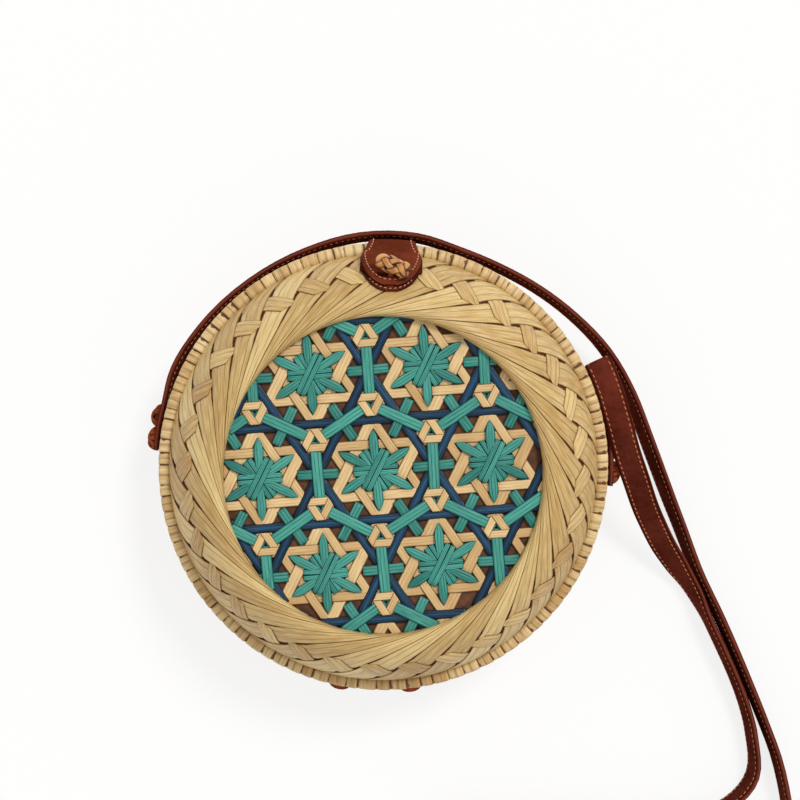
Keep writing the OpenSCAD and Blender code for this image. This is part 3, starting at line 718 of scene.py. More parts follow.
# The inner ends of the sweep roll over the ridge and down to the panel: radius, height and the way
# out of the lip
lip_path = (
    (0.0712, 0.03998, 0.1, 1.0), (0.0705, 0.04, -0.15, 0.99), (0.0699, 0.0398, -0.45, 0.89),
    (0.0693, 0.0393, -0.75, 0.66), (0.06895, 0.0384, -0.97, 0.24), (0.0689, 0.0372, -1.0, 0.0),
    (0.0689, 0.0352, -1.0, 0.0),
)


def band_point(station, turn, out):
    """A point over the shell at a curve angle, or over the lip at a place on its path."""
    if not isinstance(station, tuple):
        return shell_point(station, turn, out)
    r, t, out_r, out_t = station
    a = math.radians(turn)
    r += out * out_r
    return Vector((r * math.cos(a), r * math.sin(a), t + out * out_t))


def station_swing(station):
    if not isinstance(station, tuple):
        return swing(station)
    return math.degrees(math.acos(min(panel_r / station[0], 1)))


def band_strip(kind, index, chance):
    """One splint of the band, as rows of points over the shell."""
    sweep = kind == "sweep"
    sign = 1 if sweep else -1
    own = 90 + sign * row_swing + index * splint_step
    start, end, steps = (88, 11, 54) if sweep else (57, 11, 46)
    own_shift = chance.uniform(-0.012, 0.012) * splint_step
    wide_by = chance.uniform(-0.03, 0.03)
    stations = [start + (end - start) * i / steps for i in range(steps + 1)]
    if sweep:
        stations = list(reversed(lip_path)) + stations
    rows = []
    for station in stations:
        share = row_share + wide_by
        if sweep:
            r = band_point(station, 0, 0).xy.length
            share = sweep_share - sweep_narrower * min(max((r - narrow_r) / narrow_over, 0), 1)
            share += wide_by * (r > vary_r)
        row = []
        for s in (-1, -0.86, -0.4, 0, 0.4, 0.86, 1):
            turn = own + own_shift + s * share * splint_step / 2 - sign * station_swing(station)
            # Which splint of the other kind passes here, counted from the one that lies on top
            other = turn - sign * station_swing(station)
            off = (other - (90 - sign * row_swing)) / splint_step - index
            nearest = round(off)
            crossing = bell(max(abs(off - nearest) - 0.36, 0), 0.14) if nearest == 0 else 0
            lift = row_lift + row_rise * crossing
            if sweep:
                lift = sweep_lift - sweep_dip * crossing - lip_drop * isinstance(station, tuple)
            row.append((station, turn, lift + splint_arch * (1 - s * s)))
        rows.append(row)
    return rows


def normals_outward(piece):
    work = bmesh.new()
    work.from_mesh(piece.data)
    bmesh.ops.recalc_face_normals(work, faces=work.faces)
    work.to_mesh(piece.data)
    work.free()


def band_mesh(name, strips, side, finish):
    vertices, faces, places, tones = [], [], [], []
    for rows, tone in strips:
        wide = len(rows[0])
        faces += tube(len(rows), 2 * wide, len(vertices))
        travelled, last = 0.0, None
        for row in rows:
            top = [band_point(station, turn, out) for station, turn, out in row]
            under = [band_point(station, turn, out - band_thick) for station, turn, out in reversed(row)]
            if last is not None:
                travelled += (top[wide // 2] - last).length
            last = top[wide // 2]
            vertices += [on_side(side, spot) for spot in top + under]
            shares = [j / (wide - 1) for j in range(wide)]
            places += [place_on_strip(share, travelled, tone) for share in shares + shares[::-1]]
            tones += [tone] * (2 * wide)
    piece = strip_piece(name, vertices, faces, places, tones, finish)
    normals_outward(piece)
    return piece


sweep_finish = bamboo(
    "band_bamboo", colour(230, 204, 145), colour(171, 132, 73), colour(108, 68, 30), grooves=3,
    groove_share=0.5, rough=0.42, edge_shade_strength=0.7,
)
row_finish = bamboo(
    "row_bamboo", colour(228, 199, 138), colour(168, 125, 68), colour(98, 58, 26), grooves=3,
    groove_share=0.5, rough=0.42, edge_shade_strength=0.7,
)
for side in ("back", "front"):
    for kind, finish, node in (("sweep", sweep_finish, "_swirl"), ("cross", row_finish, "_plait")):
        strips = [(band_strip(kind, k, chance), chance.random()) for k in range(splint_count)]
        band = band_mesh(side + "_band_" + kind, strips, side, finish)
        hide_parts(side + node)
        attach(band, body_of_side[side])

# Hoops
# Two bent bamboo hoops clamp each wall's edge, one outside and one inside. The binding hides all but
# thin dark slits of them, so the CAD hoops stay and only get their finish.
hoop_grain_in_metre = 2600
hoop_finish = Finish("hoop_bamboo")
x, y, z = hoop_finish.split(hoop_finish.place())
hoop_radius = (x * x + y * y).math("SQRT")
hoop_grain = hoop_finish.noise(hoop_finish.vector(
    hoop_radius * hoop_grain_in_metre, y.math("ARCTAN2", x) * 9, z * hoop_grain_in_metre
), 1.0, 3)
hoop_finish.set(
    Base_Color=hoop_finish.mix(hoop_grain, colour(74, 42, 22), colour(128, 84, 46)), Roughness=0.55,
    Normal=hoop_finish.bump(hoop_grain, 0.0003),
)
for node in ("back_outer_hoop", "back_inner_hoop", "front_outer_hoop", "front_inner_hoop"):
    refinish(node, hoop_finish)

# Rim wraps
# Pale splint is wound round both hoops, wrap beside wrap, and drawn tight. Each wrap is domed across
# its width, and no two are quite the same width or slant.
wrap_count = 90
# Radius and height over the plane of the rims in millimetres, round both hoops
wrap_path = (
    (94.7, 7.0), (96.6, 7.05), (98.4, 6.85), (99.4, 6.1), (99.7, 4.9), (99.72, 3.7), (99.7, 2.2),
    (99.3, 1.1), (98.2, 0.55), (95.0, 0.5), (91.8, 0.55), (90.7, 1.1), (90.35, 2.4), (90.35, 5.0),
    (90.8, 6.4), (91.8, 6.95), (92.9, 7.0),
)
# The one wrap that is repeated is 1 mm wide, and 1 mm is its section's unit of height
wrap_unit = 0.001
wrap_section = (
    (-0.5, -0.42), (0.5, -0.42), (0.5, 0.0), (0.36, 0.2), (0.0, 0.27), (-0.36, 0.2), (-0.5, 0.0)
)
wrap_middle_t = 3.75
wrap_gap, wrap_r, wrap_uneven, wrap_slant = 0.0004, 0.0995, 0.16, 0.2


def path_normals(path):
    """The way out of a path of (radius, height) at each of its points."""
    normals = []
    for i in range(len(path)):
        before, after = path[max(i - 1, 0)], path[min(i + 1, len(path) - 1)]
        run = Vector((after[0] - before[0], after[1] - before[1])).normalized()
        normals.append(Vector((run[1], -run[0])))
    return normals


class Pattern(Nodes):
    """A geometry tree with named inputs, which lays a shape on points."""

    def __init__(self, name, **sockets):
        super().__init__(bpy.data.node_groups.new(name, "GeometryNodeTree"))
        for label, kind in sockets.items():
            self.tree.interface.new_socket(label, in_out="INPUT", socket_type="NodeSocket" + kind)
        self.tree.interface.new_socket("Geometry", in_out="OUTPUT", socket_type="NodeSocketGeometry")
        given = self.tree.nodes.new("NodeGroupInput").outputs
        self.given = {label: Value(self, given[label]) for label in sockets}
        self.end = self.tree.nodes.new("NodeGroupOutput").inputs[0]

    def drawn(self, low, high, **values):
        """A number drawn for each point."""
        return self.node("FunctionNodeRandomValue", {"data_type": "FLOAT"}, {2: low, 3: high, **values}, 1)

    def rotation(self, turns):
        return self.node("FunctionNodeEulerToRotation", None, {0: turns})

    def laid(self, points, turns, size):
        """A copy of the shape on each point, as one mesh."""
        shape = self.node("GeometryNodeObjectInfo", None, {0: self.given["Shape"]}, "Geometry")
        copies = self.node("GeometryNodeInstanceOnPoints", None, {
            "Points": points, "Instance": shape, "Rotation": self.rotation(turns), "Scale": size,
        })
        return self.node("GeometryNodeRealizeInstances", None, {0: copies})

    def close(self, geometry):
        """Ends the tree with its material."""
        self.give(self.end, self.node("GeometryNodeSetMaterial", None, {
            "Geometry": geometry, "Material": self.given["Material"],
        }))

    def grown(self, name, source, **values):
        """The mesh that the tree makes from an object, as a plain piece."""
        modifier = source.modifiers.new("grow", "NODES")
        modifier.node_group = self.tree
        for item in self.tree.interface.items_tree:
            if item.item_type == "SOCKET" and item.in_out == "INPUT" and item.name in values:
                modifier[item.identifier] = values[item.name]
        piece = bpy.data.objects.new(name, evaluated_mesh(source))
        piece.data.name = name
        bpy.context.scene.collection.objects.link(piece)
        bpy.data.objects.remove(source)
        return piece


def evaluated_mesh(piece):
    """A piece's mesh with its modifiers applied and then removed."""
    bpy.context.view_layer.update()
    mesh = bpy.data.meshes.new_from_object(piece.evaluated_get(bpy.context.evaluated_depsgraph_get()))
    piece.modifiers.clear()
    return mesh


binding_finish = bamboo(
    "binding_bamboo", colour(234, 208, 156), colour(180, 138, 82), colour(82, 46, 22), grooves=2,
    groove_share=0.5, rough=0.42, edge_shade_strength=0.85,
)
wraps = Pattern(
    "rim_wraps", Shape="Object", Count="Int", Gap="Float", Radius="Float", Unevenness="Float", Slant="Float",
    Over="Float", Material="Material", Seed="Int",
)
given = wraps.given
index = wraps.node("GeometryNodeInputIndex")
pitch = wraps.math("DIVIDE", 2 * math.pi, given["Count"])
# Neighbours share an edge, which wanders by a number drawn for the later of the two
from_edge = wraps.drawn(-1.0, 1.0, ID=index, Seed=given["Seed"]) * given["Unevenness"]
next_index = (index + 1).math("MODULO", given["Count"])
to_edge = wraps.drawn(-1.0, 1.0, ID=next_index, Seed=given["Seed"]) * given["Unevenness"]
wrap_turn = (index + (from_edge + to_edge) * 0.5) * pitch
wrap_width = pitch * given["Radius"] * (1 + (to_edge - from_edge)) - given["Gap"]
slant = wraps.drawn(0.2, 1.4, ID=index, Seed=given["Seed"]) * given["Slant"]
toned = wraps.node("GeometryNodeStoreNamedAttribute", {"data_type": "FLOAT", "domain": "POINT"}, {
    "Geometry": wraps.node("GeometryNodePoints", None, {"Count": given["Count"]}), "Name": "tone",
    "Value": wraps.drawn(0.0, 1.0, ID=index, Seed=5),
})
ring = wraps.laid(toned, wraps.vector(slant, 0, wrap_turn), wraps.vector(1, wrap_width * (1 / wrap_unit), 1))
for turns, lift in (((0, 0, 0), wrap_middle_t / 1000), (wraps.vector(0, given["Over"]), half_depth)):
    ring = wraps.node("GeometryNodeTransform", None, {
        "Geometry": ring, "Rotation": wraps.rotation(turns), "Translation": (0, 0, lift),
    })
wraps.close(ring)

wrap_points = []
for (r, t), (in_r, in_t) in zip(wrap_path, path_normals(wrap_path)):
    spot = Vector((r, 0, t - wrap_middle_t)) / 1000
    wrap_points.append((spot, (0, 1, 0), (-in_r, 0, -in_t), wrap_unit, wrap_unit))
wrap = strips_mesh("one_wrap", [(wrap_points, 0.0)], None, binding_finish, wrap_section)
wrap.data.attributes.remove(wrap.data.attributes["tone"])
normals_outward(wrap)
for side, over, seed in (("back", math.pi, 8), ("front", 0.0, 3)):
    holder = new_piece("holder", [(0, 0, 0)], [], binding_finish)
    binding = wraps.grown(
        side + "_rim_wraps", holder, Shape=wrap, Count=wrap_count, Gap=wrap_gap, Radius=wrap_r,
        Unevenness=wrap_uneven, Slant=wrap_slant, Over=over, Material=binding_finish.material, Seed=seed,
    )
    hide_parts(side + "_rim_binding")
    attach(binding, body_of_side[side])
bpy.data.objects.remove(wrap)

# Strap
# One long band of reddish brown leather, folded over its own edges, with a row of orange thread along
# each side. It hugs the left and top of the rim, lies on edge in a long loop, and folds over on itself
# at the right.
strap_width, strap_thick = 0.0124, 0.0026
strap_run = 0.101257
strap_level = 0.031
fold_r = 0.0022
# Each place is a turn round the bag's axis in degrees, a distance from it in strap_run, a height in
# strap_level, and the roll of the strap: 90 on edge, 0 flat
route = (
    (178, 1, 1, 78), (172, 1, 1, 78), (165.5, 1, 1, 78), (157, 1.012, 1, 74), (145, 1.006, 1, 76),
    (128, 1, 1, 78), (112, 1.004, 1, 78), (98, 1.017, 1, 78), (84, 1.019, 1, 78), (73, 1.006, 0.96, 78),
    (62, 1.014, 0.86, 78), (51, 1.04, 0.7, 78), (40, 1.077, 0.52, 78), (29, 1.122, 0.34, 76),
    (18, 1.16, 0.18, 73), (8, 1.2, 0.06, 68), (-1, 1.27, 0, 67), (-9, 1.37, 0, 68), (-17, 1.52, 0, 70),
    (-23, 1.71, 0, 72), (-28, 1.91, 0, 72), (-32, 2.11, 0, 73), (-36, 2.34, 0, 76), (-40.5, 2.55, 0, 80),
    (-45.5, 2.62, 0, 87), (-51, 2.51, 0, 90), (-58, 2.3, 0, 90), (-66, 2.14, 0, 90), (-74, 2.03, 0, 90),
    (-80.5, 1.94, 0, 90), (-82.8, 1.82, 0, 90), (-79.5, 1.72, 0, 90), (-72, 1.73, 0, 90),
    (-63, 1.85, 0, 90), (-55, 2.02, 0, 90), (-48.5, 2.18, 0, 88), (-43, 2.27, 0, 82), (-38.5, 2.26, 0, 76),
    (-34.9, 2.14, 0, 73), (-32.1, 2.021, 0, 72), (-27.3, 1.797, 0, 72), (-23.8, 1.656, 0, 70),
    (-20.8, 1.55, 0.03, 46), (-17.7, 1.431, 0.21, 16), (-13.8, 1.315, 0.44, 3), (-7.8, 1.203, 0.76, 0),
    (-1.1, 1.129, 1.03, 0), (6, 1.078, 1.2, 0), (14, 1.056, 1.27, 0), (21, 1.052, 1.29, 0),
    (27, 1.052, 1.29, 0),
)
tail_route = (
    (27, 1.052, 1.14, 0), (23, 1.052, 1.1, 8), (18, 1.033, 1.04, 35), (15, 1.012, 1.01, 62),
    (11.5, 1, 1, 78), (8, 1, 1, 78), (3, 1, 1, 78), (-2.8, 1, 1, 78),
)


def eased(a, b, c, d, s):
    """A smooth curve from b to c, for s from 0 to 1, with a before it and d after it."""
    square, cube = a - 2.5 * b + 2 * c - d / 2, 1.5 * (b - c) + (d - a) / 2
    return b + s * (c - a) / 2 + s * s * square + s ** 3 * cube


def refined(rows, steps=4):
    out = []
    for i in range(len(rows) - 1):
        four = (rows[max(i - 1, 0)], rows[i], rows[i + 1], rows[min(i + 2, len(rows) - 1)])
        out += [[eased(*(row[j] for row in four), k / steps) for j in range(4)] for k in range(steps)]
    return out + [list(rows[-1])]


def route_point(row):
    turn, roll = math.radians(row[0]), math.radians(row[3])
    rest = strap_width / 2 * abs(math.sin(roll)) + strap_thick / 2 * abs(math.cos(roll))
    r = strap_run * row[1]
    return Vector((r * math.cos(turn), r * math.sin(turn), rest + max(row[2], 0) * (strap_level - rest)))


def route_width(row):
    turn, roll = math.radians(row[0]), math.radians(row[3])
    return Vector((math.cos(roll) * math.cos(turn), math.cos(roll) * math.sin(turn), math.sin(roll)))


main = refined(route)
spots = [route_point(row) for row in main]
widths = [route_width(row) for row in main]
top_row = main[-1]
turn = math.radians(top_row[0])
fold_steps = 8
for i in range(1, fold_steps):
    a = math.pi * i / fold_steps
    onward, down = fold_r * math.sin(a), fold_r * (math.cos(a) - 1)
    spots.append(route_point(top_row) + Vector((-math.sin(turn) * onward, math.cos(turn) * onward, down)))
    widths.append(route_width(top_row))
tail = refined(tail_route)
tail_drop = spots[len(main) - 1][2] - 2 * fold_r - route_point(tail[0])[2]
for i, row in enumerate(tail):
    spots.append(route_point(row) + Vector((0, 0, tail_drop * (1 - i / (len(tail) - 1)) ** 2)))
    widths.append(route_width(row))

strap_frames = []
for i, spot in enumerate(spots):
    run = (spots[min(i + 1, len(spots) - 1)] - spots[max(i - 1, 0)]).normalized()
    wide = (widths[i] - run * widths[i].dot(run)).normalized()
    strap_frames.append((spot, run, wide, run.cross(wide)))

# Half of one face, from its edge: millimetres across and through the strap, and how worn it is there, or
# below 0 how much painted highlight it takes.
# The face is padded, with a groove for the stitches and a rounded edge, whose burnished sides are darker and
# whose crest has a painted highlight.
half_face = (
    (6.2, 0.0, -1.0), (6.05, 0.75, 0.2), (5.5, 1.12, 0.9), (4.7, 1.2, 0.1), (4.4, 1.1, 0.3), (4.1, 1.22, 0.0),
)
under_face = [(-across, -through, wear_and_highlight) for across, through, wear_and_highlight in half_face] + [(0.0, -1.3, 0.0)]
under_face += [(across, -through, wear_and_highlight) for across, through, wear_and_highlight in reversed(half_face[1:])]
strap_section = under_face + [(-across, -through, wear_and_highlight) for across, through, wear_and_highlight in under_face]


def leather(name, pale, deep, edge_colour, rough=0.5, painted_highlight=None):
    """Smooth tanned leather: fine pores, soft blotches, darker burnished edges where the point's wear number
    is 1 and, if a highlight colour is given, a painted highlight of that colour where that number is -1."""
    finish = Finish(name)
    wear_and_highlight = finish.number("wear_and_highlight")
    spot = finish.place()
    pores = finish.node("ShaderNodeTexVoronoi", {"feature": "DISTANCE_TO_EDGE"}, {
        "Vector": spot, "Scale": 1900,
    }, out="Distance").within(0.0, 0.16)
    blotches = finish.noise(spot, 55, 4)
    streaks = finish.noise(spot, 420, 3)
    body = finish.mix((blotches * 0.75 + streaks * 0.35 - 0.05).within(0.3, 0.75), deep, pale)
    body = finish.mix((1 - pores) * 0.3, body, edge_colour)
    body = finish.mix(wear_and_highlight.within(0.25, 0.9), body, edge_colour)
    # Painted highlight: a lighter colour along the crest of the strap's edge, where the number is below 0.
    # The leather reflects nothing, so this is its only highlight.
    if painted_highlight:
        body = finish.mix((wear_and_highlight * -1).within(0.1, 0.9), body, painted_highlight)
    finish.set(
        Base_Color=body, Roughness=blotches * 0.12 + (rough - 0.06), Specular_IOR_Level=0.0,
        Normal=finish.bump(pores * 0.5 + streaks * 0.6, 0.00012),
    )
    return finish


# The strap's edge crest takes a painted highlight in a lighter red.
strap_finish = leather(
    "strap_leather", colour(113, 51, 38), colour(78, 31, 22), colour(50, 16, 10), painted_highlight=colour(124, 62, 46)
)


def leather_piece(name, vertices, faces, wear_and_highlight, finish):
    piece = new_piece(name, vertices, faces, finish)
    number_points(piece, "wear_and_highlight", wear_and_highlight)
    normals_outward(piece)
    return piece


vertices, wear_and_highlight = [], []
for spot, run, wide, thick in strap_frames:
    for across, through, wear_and_highlight_here in strap_section:
        vertices.append(spot + wide * (across / 1000) + thick * (through / 1000))
        wear_and_highlight.append(wear_and_highlight_here)
strap_faces = tube(len(strap_frames), len(strap_section))
strap = leather_piece("strap_band", vertices, strap_faces, wear_and_highlight, strap_finish)
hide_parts("strap")
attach(strap, "back")

# Strap stitches
# Waxed orange thread, one row along each side of the strap, seen on both faces. The stitches are
# short and set close, and lean a little across the row.
stitch_pitch, stitch_long, stitch_wide, stitch_lean = 0.0026, 0.0019, 0.00052, 0.13
# From the strap's ends, from its middle line and from its middle plane
seam_start, seam_aside, seam_out = 0.004, 0.0044, 0.00112


def thread(name, dark, light):
    """Waxed thread of twisted yarn."""
    finish = Finish(name)
    twist = finish.noise(finish.place(), 2600, 2)
    finish.set(Base_Color=finish.mix(twist, dark, light), Roughness=0.6, Normal=finish.bump(twist, 0.0001))
    return finish


thread_finish = thread("waxed_thread", colour(160, 84, 46), colour(222, 140, 88))
seam = Pattern(
    "stitches", Geometry="Geometry", Shape="Object", Length="Float", Width="Float", Material="Material",
    Seed="Int",
)
given = seam.given
turns = seam.node("GeometryNodeInputNamedAttribute", {"data_type": "FLOAT_VECTOR"}, {"Name": "turn"})
long = given["Length"] * seam.drawn(0.85, 1.08, Seed=given["Seed"])
seam.close(seam.laid(given["Geometry"], turns, seam.vector(long, given["Width"], given["Width"])))
# Along the stitch, half its width and its height: its ends turn down into the leather
stitch_path = (
    (-0.5, 0.12, -0.5), (-0.36, 0.42, 0.05), (0.0, 0.5, 0.3), (0.36, 0.42, 0.05), (0.5, 0.12, -0.5)
)


def stitch_shape(finish):
    """A stitch one long and one wide."""
    sides = 6
    vertices = []
    for s, half, rise in stitch_path:
        for k in range(sides):
            spin = 2 * math.pi * k / sides
            vertices.append((s, half * math.cos(spin), rise + half * 0.8 * math.sin(spin)))
    piece = new_piece("one_stitch", vertices, tube(len(stitch_path), sides), finish)
    normals_outward(piece)
    return piece


def sew(name, places, length, width, finish):
    """Stitches at places, each a point, the way the row runs and the way out of the leather."""
    holder = new_piece("holder", [p for p, _, _ in places], [], finish)
    turns = []
    for _, run, out in places:
        aside = out.cross(run).normalized()
        turned = Matrix((run, aside, run.cross(aside))).transposed()
        turns += list((turned.to_4x4() @ Matrix.Rotation(stitch_lean, 4, "Z")).to_euler())
    attribute = holder.data.attributes.new("turn", "FLOAT_VECTOR", "POINT")
    attribute.data.foreach_set("vector", turns)
    shape = stitch_shape(finish)
    piece = seam.grown(
        name, holder, Shape=shape, Length=length, Width=width, Material=finish.material, Seed=4
    )
    bpy.data.objects.remove(shape)
    return piece


def walk(points, step, first):
    """Even steps along a line of points: the stretch that each falls in and its share of that stretch."""
    due = first
    for i, (a, b) in enumerate(zip(points, points[1:])):
        length = (Vector(b) - Vector(a)).length
        while due < length:
            yield i, due / length
            due += step
        due -= length


strap_long = sum((b - a).length for a, b in zip(spots, spots[1:]))
stitch_count = math.ceil((strap_long - 2 * seam_start) / stitch_pitch)
stitch_rows = []
for (i, share), _ in zip(walk(spots, stitch_pitch, seam_start), range(stitch_count)):
    spot, run, wide, thick = (a.lerp(b, share) for a, b in zip(strap_frames[i], strap_frames[i + 1]))
    for edge in (-seam_aside, seam_aside):
        for face in (-1, 1):
            place = spot + wide * edge + thick * (face * seam_out)
            stitch_rows.append((place, run.normalized(), (thick * face).normalized()))
strap_stitches = sew("strap_stitches", stitch_rows, stitch_long, stitch_wide, thread_finish)
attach(strap_stitches, "back")

# Side knots
# The strap's ends are held at each side by two leather knots, one over the other. Each is tied of a
# flat thong, with crossed turns over a core, and its thong goes through strap and wall to a bead.
knot_finish = leather("lace_leather", colour(176, 92, 54), colour(120, 56, 32), colour(70, 30, 20), 0.42)
strap_lean = 12
side_knot_drop = 0.0025
thong_thick, knot_air = 0.001, 0.0001
# Half the core's length, width and height, and where it is cut flat
knot_core = (0.0043, 0.0036, 0.0036, 0.0)
# The thong's end runs from the knot in through strap and wall, to a bead on the wall's inner side
thong_r, bead_r = 0.0012, 0.0018
thong_out, bead_out, bead_in = 0.003, -0.0093, -0.0102


def side_frame(angle):
    """From a knot's own axes, along the rim, up the strap and outward, to the bag's."""
    return (
        Matrix.Rotation(math.radians(angle), 4, "Z") @ Matrix.Translation((strap_run, 0, strap_level))
        @ Matrix.Rotation(math.radians(strap_lean), 4, "Y") @ Matrix.Translation((0, 0, -side_knot_drop))
        @ Matrix.Rotation(math.radians(90), 4, "Z") @ Matrix.Rotation(math.radians(90), 4, "X")
    )


def ball(half_x, half_y, half_z, low, rings=8, steps=20):
    """A closed dome of a full, squarish section, cut flat at height low."""
    vertices, faces = [], []
    for ring in range(1, rings):
        a = -math.pi / 2 + math.pi * ring / rings
        flat = math.cos(a) ** 0.7
        for step in range(steps):
            b = 2 * math.pi * step / steps
            across, along = (math.copysign(abs(c) ** 0.8, c) for c in (math.cos(b), math.sin(b)))
            vertices.append((half_x * flat * across, half_y * flat * along, max(half_z * math.sin(a), low)))
    vertices += [(0, 0, max(low, -half_z)), (0, 0, half_z)]
    for ring in range(rings - 2):
        for step in range(steps):
            a, b = ring * steps + step, ring * steps + (step + 1) % steps
            faces.append((a, b, b + steps, a + steps))
    last = (rings - 2) * steps
    for step in range(steps):
        faces.append(((step + 1) % steps, step, len(vertices) - 2))
        faces.append((last + step, last + (step + 1) % steps, len(vertices) - 1))
    return vertices, faces


def rod(radius, start, end, steps=12):
    spins = [2 * math.pi * k / steps for k in range(steps)]
    vertices = [(radius * math.cos(spin), radius * math.sin(spin), z) for z in (start, end) for spin in spins]
    return vertices, tube(2, steps)


thong_section = ((-0.5, -0.5), (0.5, -0.5), (0.46, 0.3), (0.2, 0.5), (-0.2, 0.5), (-0.46, 0.3))


def thong_turn(way, half_long, top, width, shift, steps=14):
    """A flat thong laid over a core in an arch. way is its direction in degrees."""
    run = Vector((math.cos(math.radians(way)), math.sin(math.radians(way)), 0))
    aside, upward = Vector((-run[1], run[0], 0)), Vector((0, 0, 1))
    vertices = []
    for i in range(steps + 1):
        a = math.pi * i / steps
        middle = run * (-math.cos(a) * half_long) + aside * shift + upward * math.sin(a) ** 0.75 * top
        up = (run * -math.cos(a) + upward * math.sin(a)).normalized()
        vertices += [middle + aside * (s * width) + up * (h * thong_thick) for s, h in thong_section]
    return vertices, tube(steps + 1, len(thong_section))


def joined(parts, lift=0.0):
    vertices, faces = [], []
    for some_vertices, some_faces in parts:
        start = len(vertices)
        vertices += [Vector(v) + Vector((0, 0, lift)) for v in some_vertices]
        faces += [tuple(start + i for i in face) for face in some_faces]
    return vertices, faces


side_knots = (
    ("strap_knot_left_upper", 169.9, -1), ("strap_knot_left_lower", 175.6, 1),
    ("strap_knot_right_upper", 6.4, -1), ("strap_knot_right_lower", 0.1, 1),
)
for node, angle, flip in side_knots:
    turns = joined([
        ball(*knot_core),
        thong_turn(38 * flip, 0.0045, 0.0042, 0.003, -0.0015),
        thong_turn(38 * flip, 0.0045, 0.0042, 0.003, 0.0017),
        thong_turn(-42 * flip, 0.0046, 0.0048, 0.003, 0.0),
        thong_turn(-42 * flip, 0.0036, 0.0039, 0.0026, 0.0029 * flip),
    ], strap_thick / 2 + knot_air)
    vertices, faces = joined([turns, rod(thong_r, bead_in, thong_out), rod(bead_r, bead_in, bead_out)])
    placed = side_frame(angle)
    knot = leather_piece(
        node + "_plait", [placed @ v for v in vertices], faces, [0.0] * len(vertices), knot_finish
    )
    knot.data.set_sharp_from_angle(angle=math.radians(40))
    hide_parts(node)
    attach(knot, "back")

# Hinge laces
# Two short leather laces at the bottom tie the shells together. Each comes out through a slot in the
# back wall, goes over the back rim and in under the wraps of the front one, and bends between them.
lace_width, lace_thick = 0.0095, 0.001
lace_aside, lace_r, lace_bend = 0.016, 0.1, 0.002
lace_turn = math.degrees(math.asin(lace_aside / lace_r))
# Radius and height in millimetres from the plane of the rims, behind it and then in front
lace_half = (
    (89.3, 3.0), (89.4, 6.2), (90.4, 7.8), (92.5, 8.12), (96.0, 8.1), (99.2, 7.95), (100.5, 7.0),
    (100.85, 5.0), (101.0, 2.8), (101.2, 1.4),
)
# Across the lace in shares of its width and out of it in thicknesses: its edges lie lower
lace_section = (
    (-0.5, -1.9), (-0.28, -1.0), (0.0, -0.5), (0.28, -1.0), (0.5, -1.9), (0.48, -1.2), (0.36, -0.2),
    (0.2, 0.4), (0.0, 0.6), (-0.2, 0.4), (-0.36, -0.2), (-0.48, -1.2),
)
lace_front = ((101.5, -0.2), (101.8, 1.2), (101.4, 2.6), (100.6, 3.7), (99.5, 4.4), (97.8, 4.6))
lace_path = [(r, -t) for r, t in lace_half] + list(lace_front)
for node, turn in (("hinge_lace_left", -lace_turn), ("hinge_lace_right", lace_turn)):
    a = math.radians(turn - 90)
    outward_way, aside = Vector((math.cos(a), math.sin(a), 0)), Vector((-math.sin(a), math.cos(a), 0))
    vertices, wear_and_highlight = [], []
    for (r, t), out in zip(lace_path, path_normals(lace_path)):
        spot = outward_way * (r / 1000) + Vector((0, 0, half_depth + t / 1000))
        up = outward_way * out[0] + Vector((0, 0, out[1]))
        for s, h in lace_section:
            vertices.append(spot + aside * (s * lace_width) + up * (h * lace_thick))
            wear_and_highlight.append(1.0 if abs(s) == 0.5 else 0.0)
    faces = tube(len(lace_path), len(lace_section))
    lace = leather_piece(node + "_strip", vertices, faces, wear_and_highlight, knot_finish)
    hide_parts(node)
    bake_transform(lace)

# Closure flap
# A tongue of brown leather is stitched to the back shell, bends over the rims and lies on the front.
# Its round end has a slit for the toggle and a row of pale stitches inside its edge.
flap_width = 0.0276
flap_thick = 0.0014
flap_tip = 0.0806
root_tip = 0.082
flap_out = 0.00245
root_out = 0.0009
toggle_angle = 55
path_step = 0.0011
# The tongues' edges are rounded and worn this far in, and thinned by a share of the leather
edge_round, edge_worn, bevel_share = 0.0011, 0.0008, 0.42
waist_drop, waist_r, waist_reach = 0.0034, 0.1005, 0.0095
slit_half, slit_end, slit_low, slit_high = 0.0053, 0.0017, 0.0015, 0.009


def section_point(angle, out):
    spot = shell_point(angle, 0, out)
    return (spot[0], spot[2])


def end_square(r, tip, half, inset=0.0):
    """The square of half a tongue's width where the circle of radius r round the bag's axis cuts its
    round end, an inset within its edge, or None where its sides run straight."""
    middle_y = tip + half
    y = (r * r + middle_y ** 2 - (half - inset) ** 2) / (2 * middle_y)
    return None if y > middle_y else r * r - y * y


def waist(r, half):
    """A tongue is narrower where it bends over the rim."""
    return half - waist_drop * bell(min(r - waist_r, 0), waist_reach)


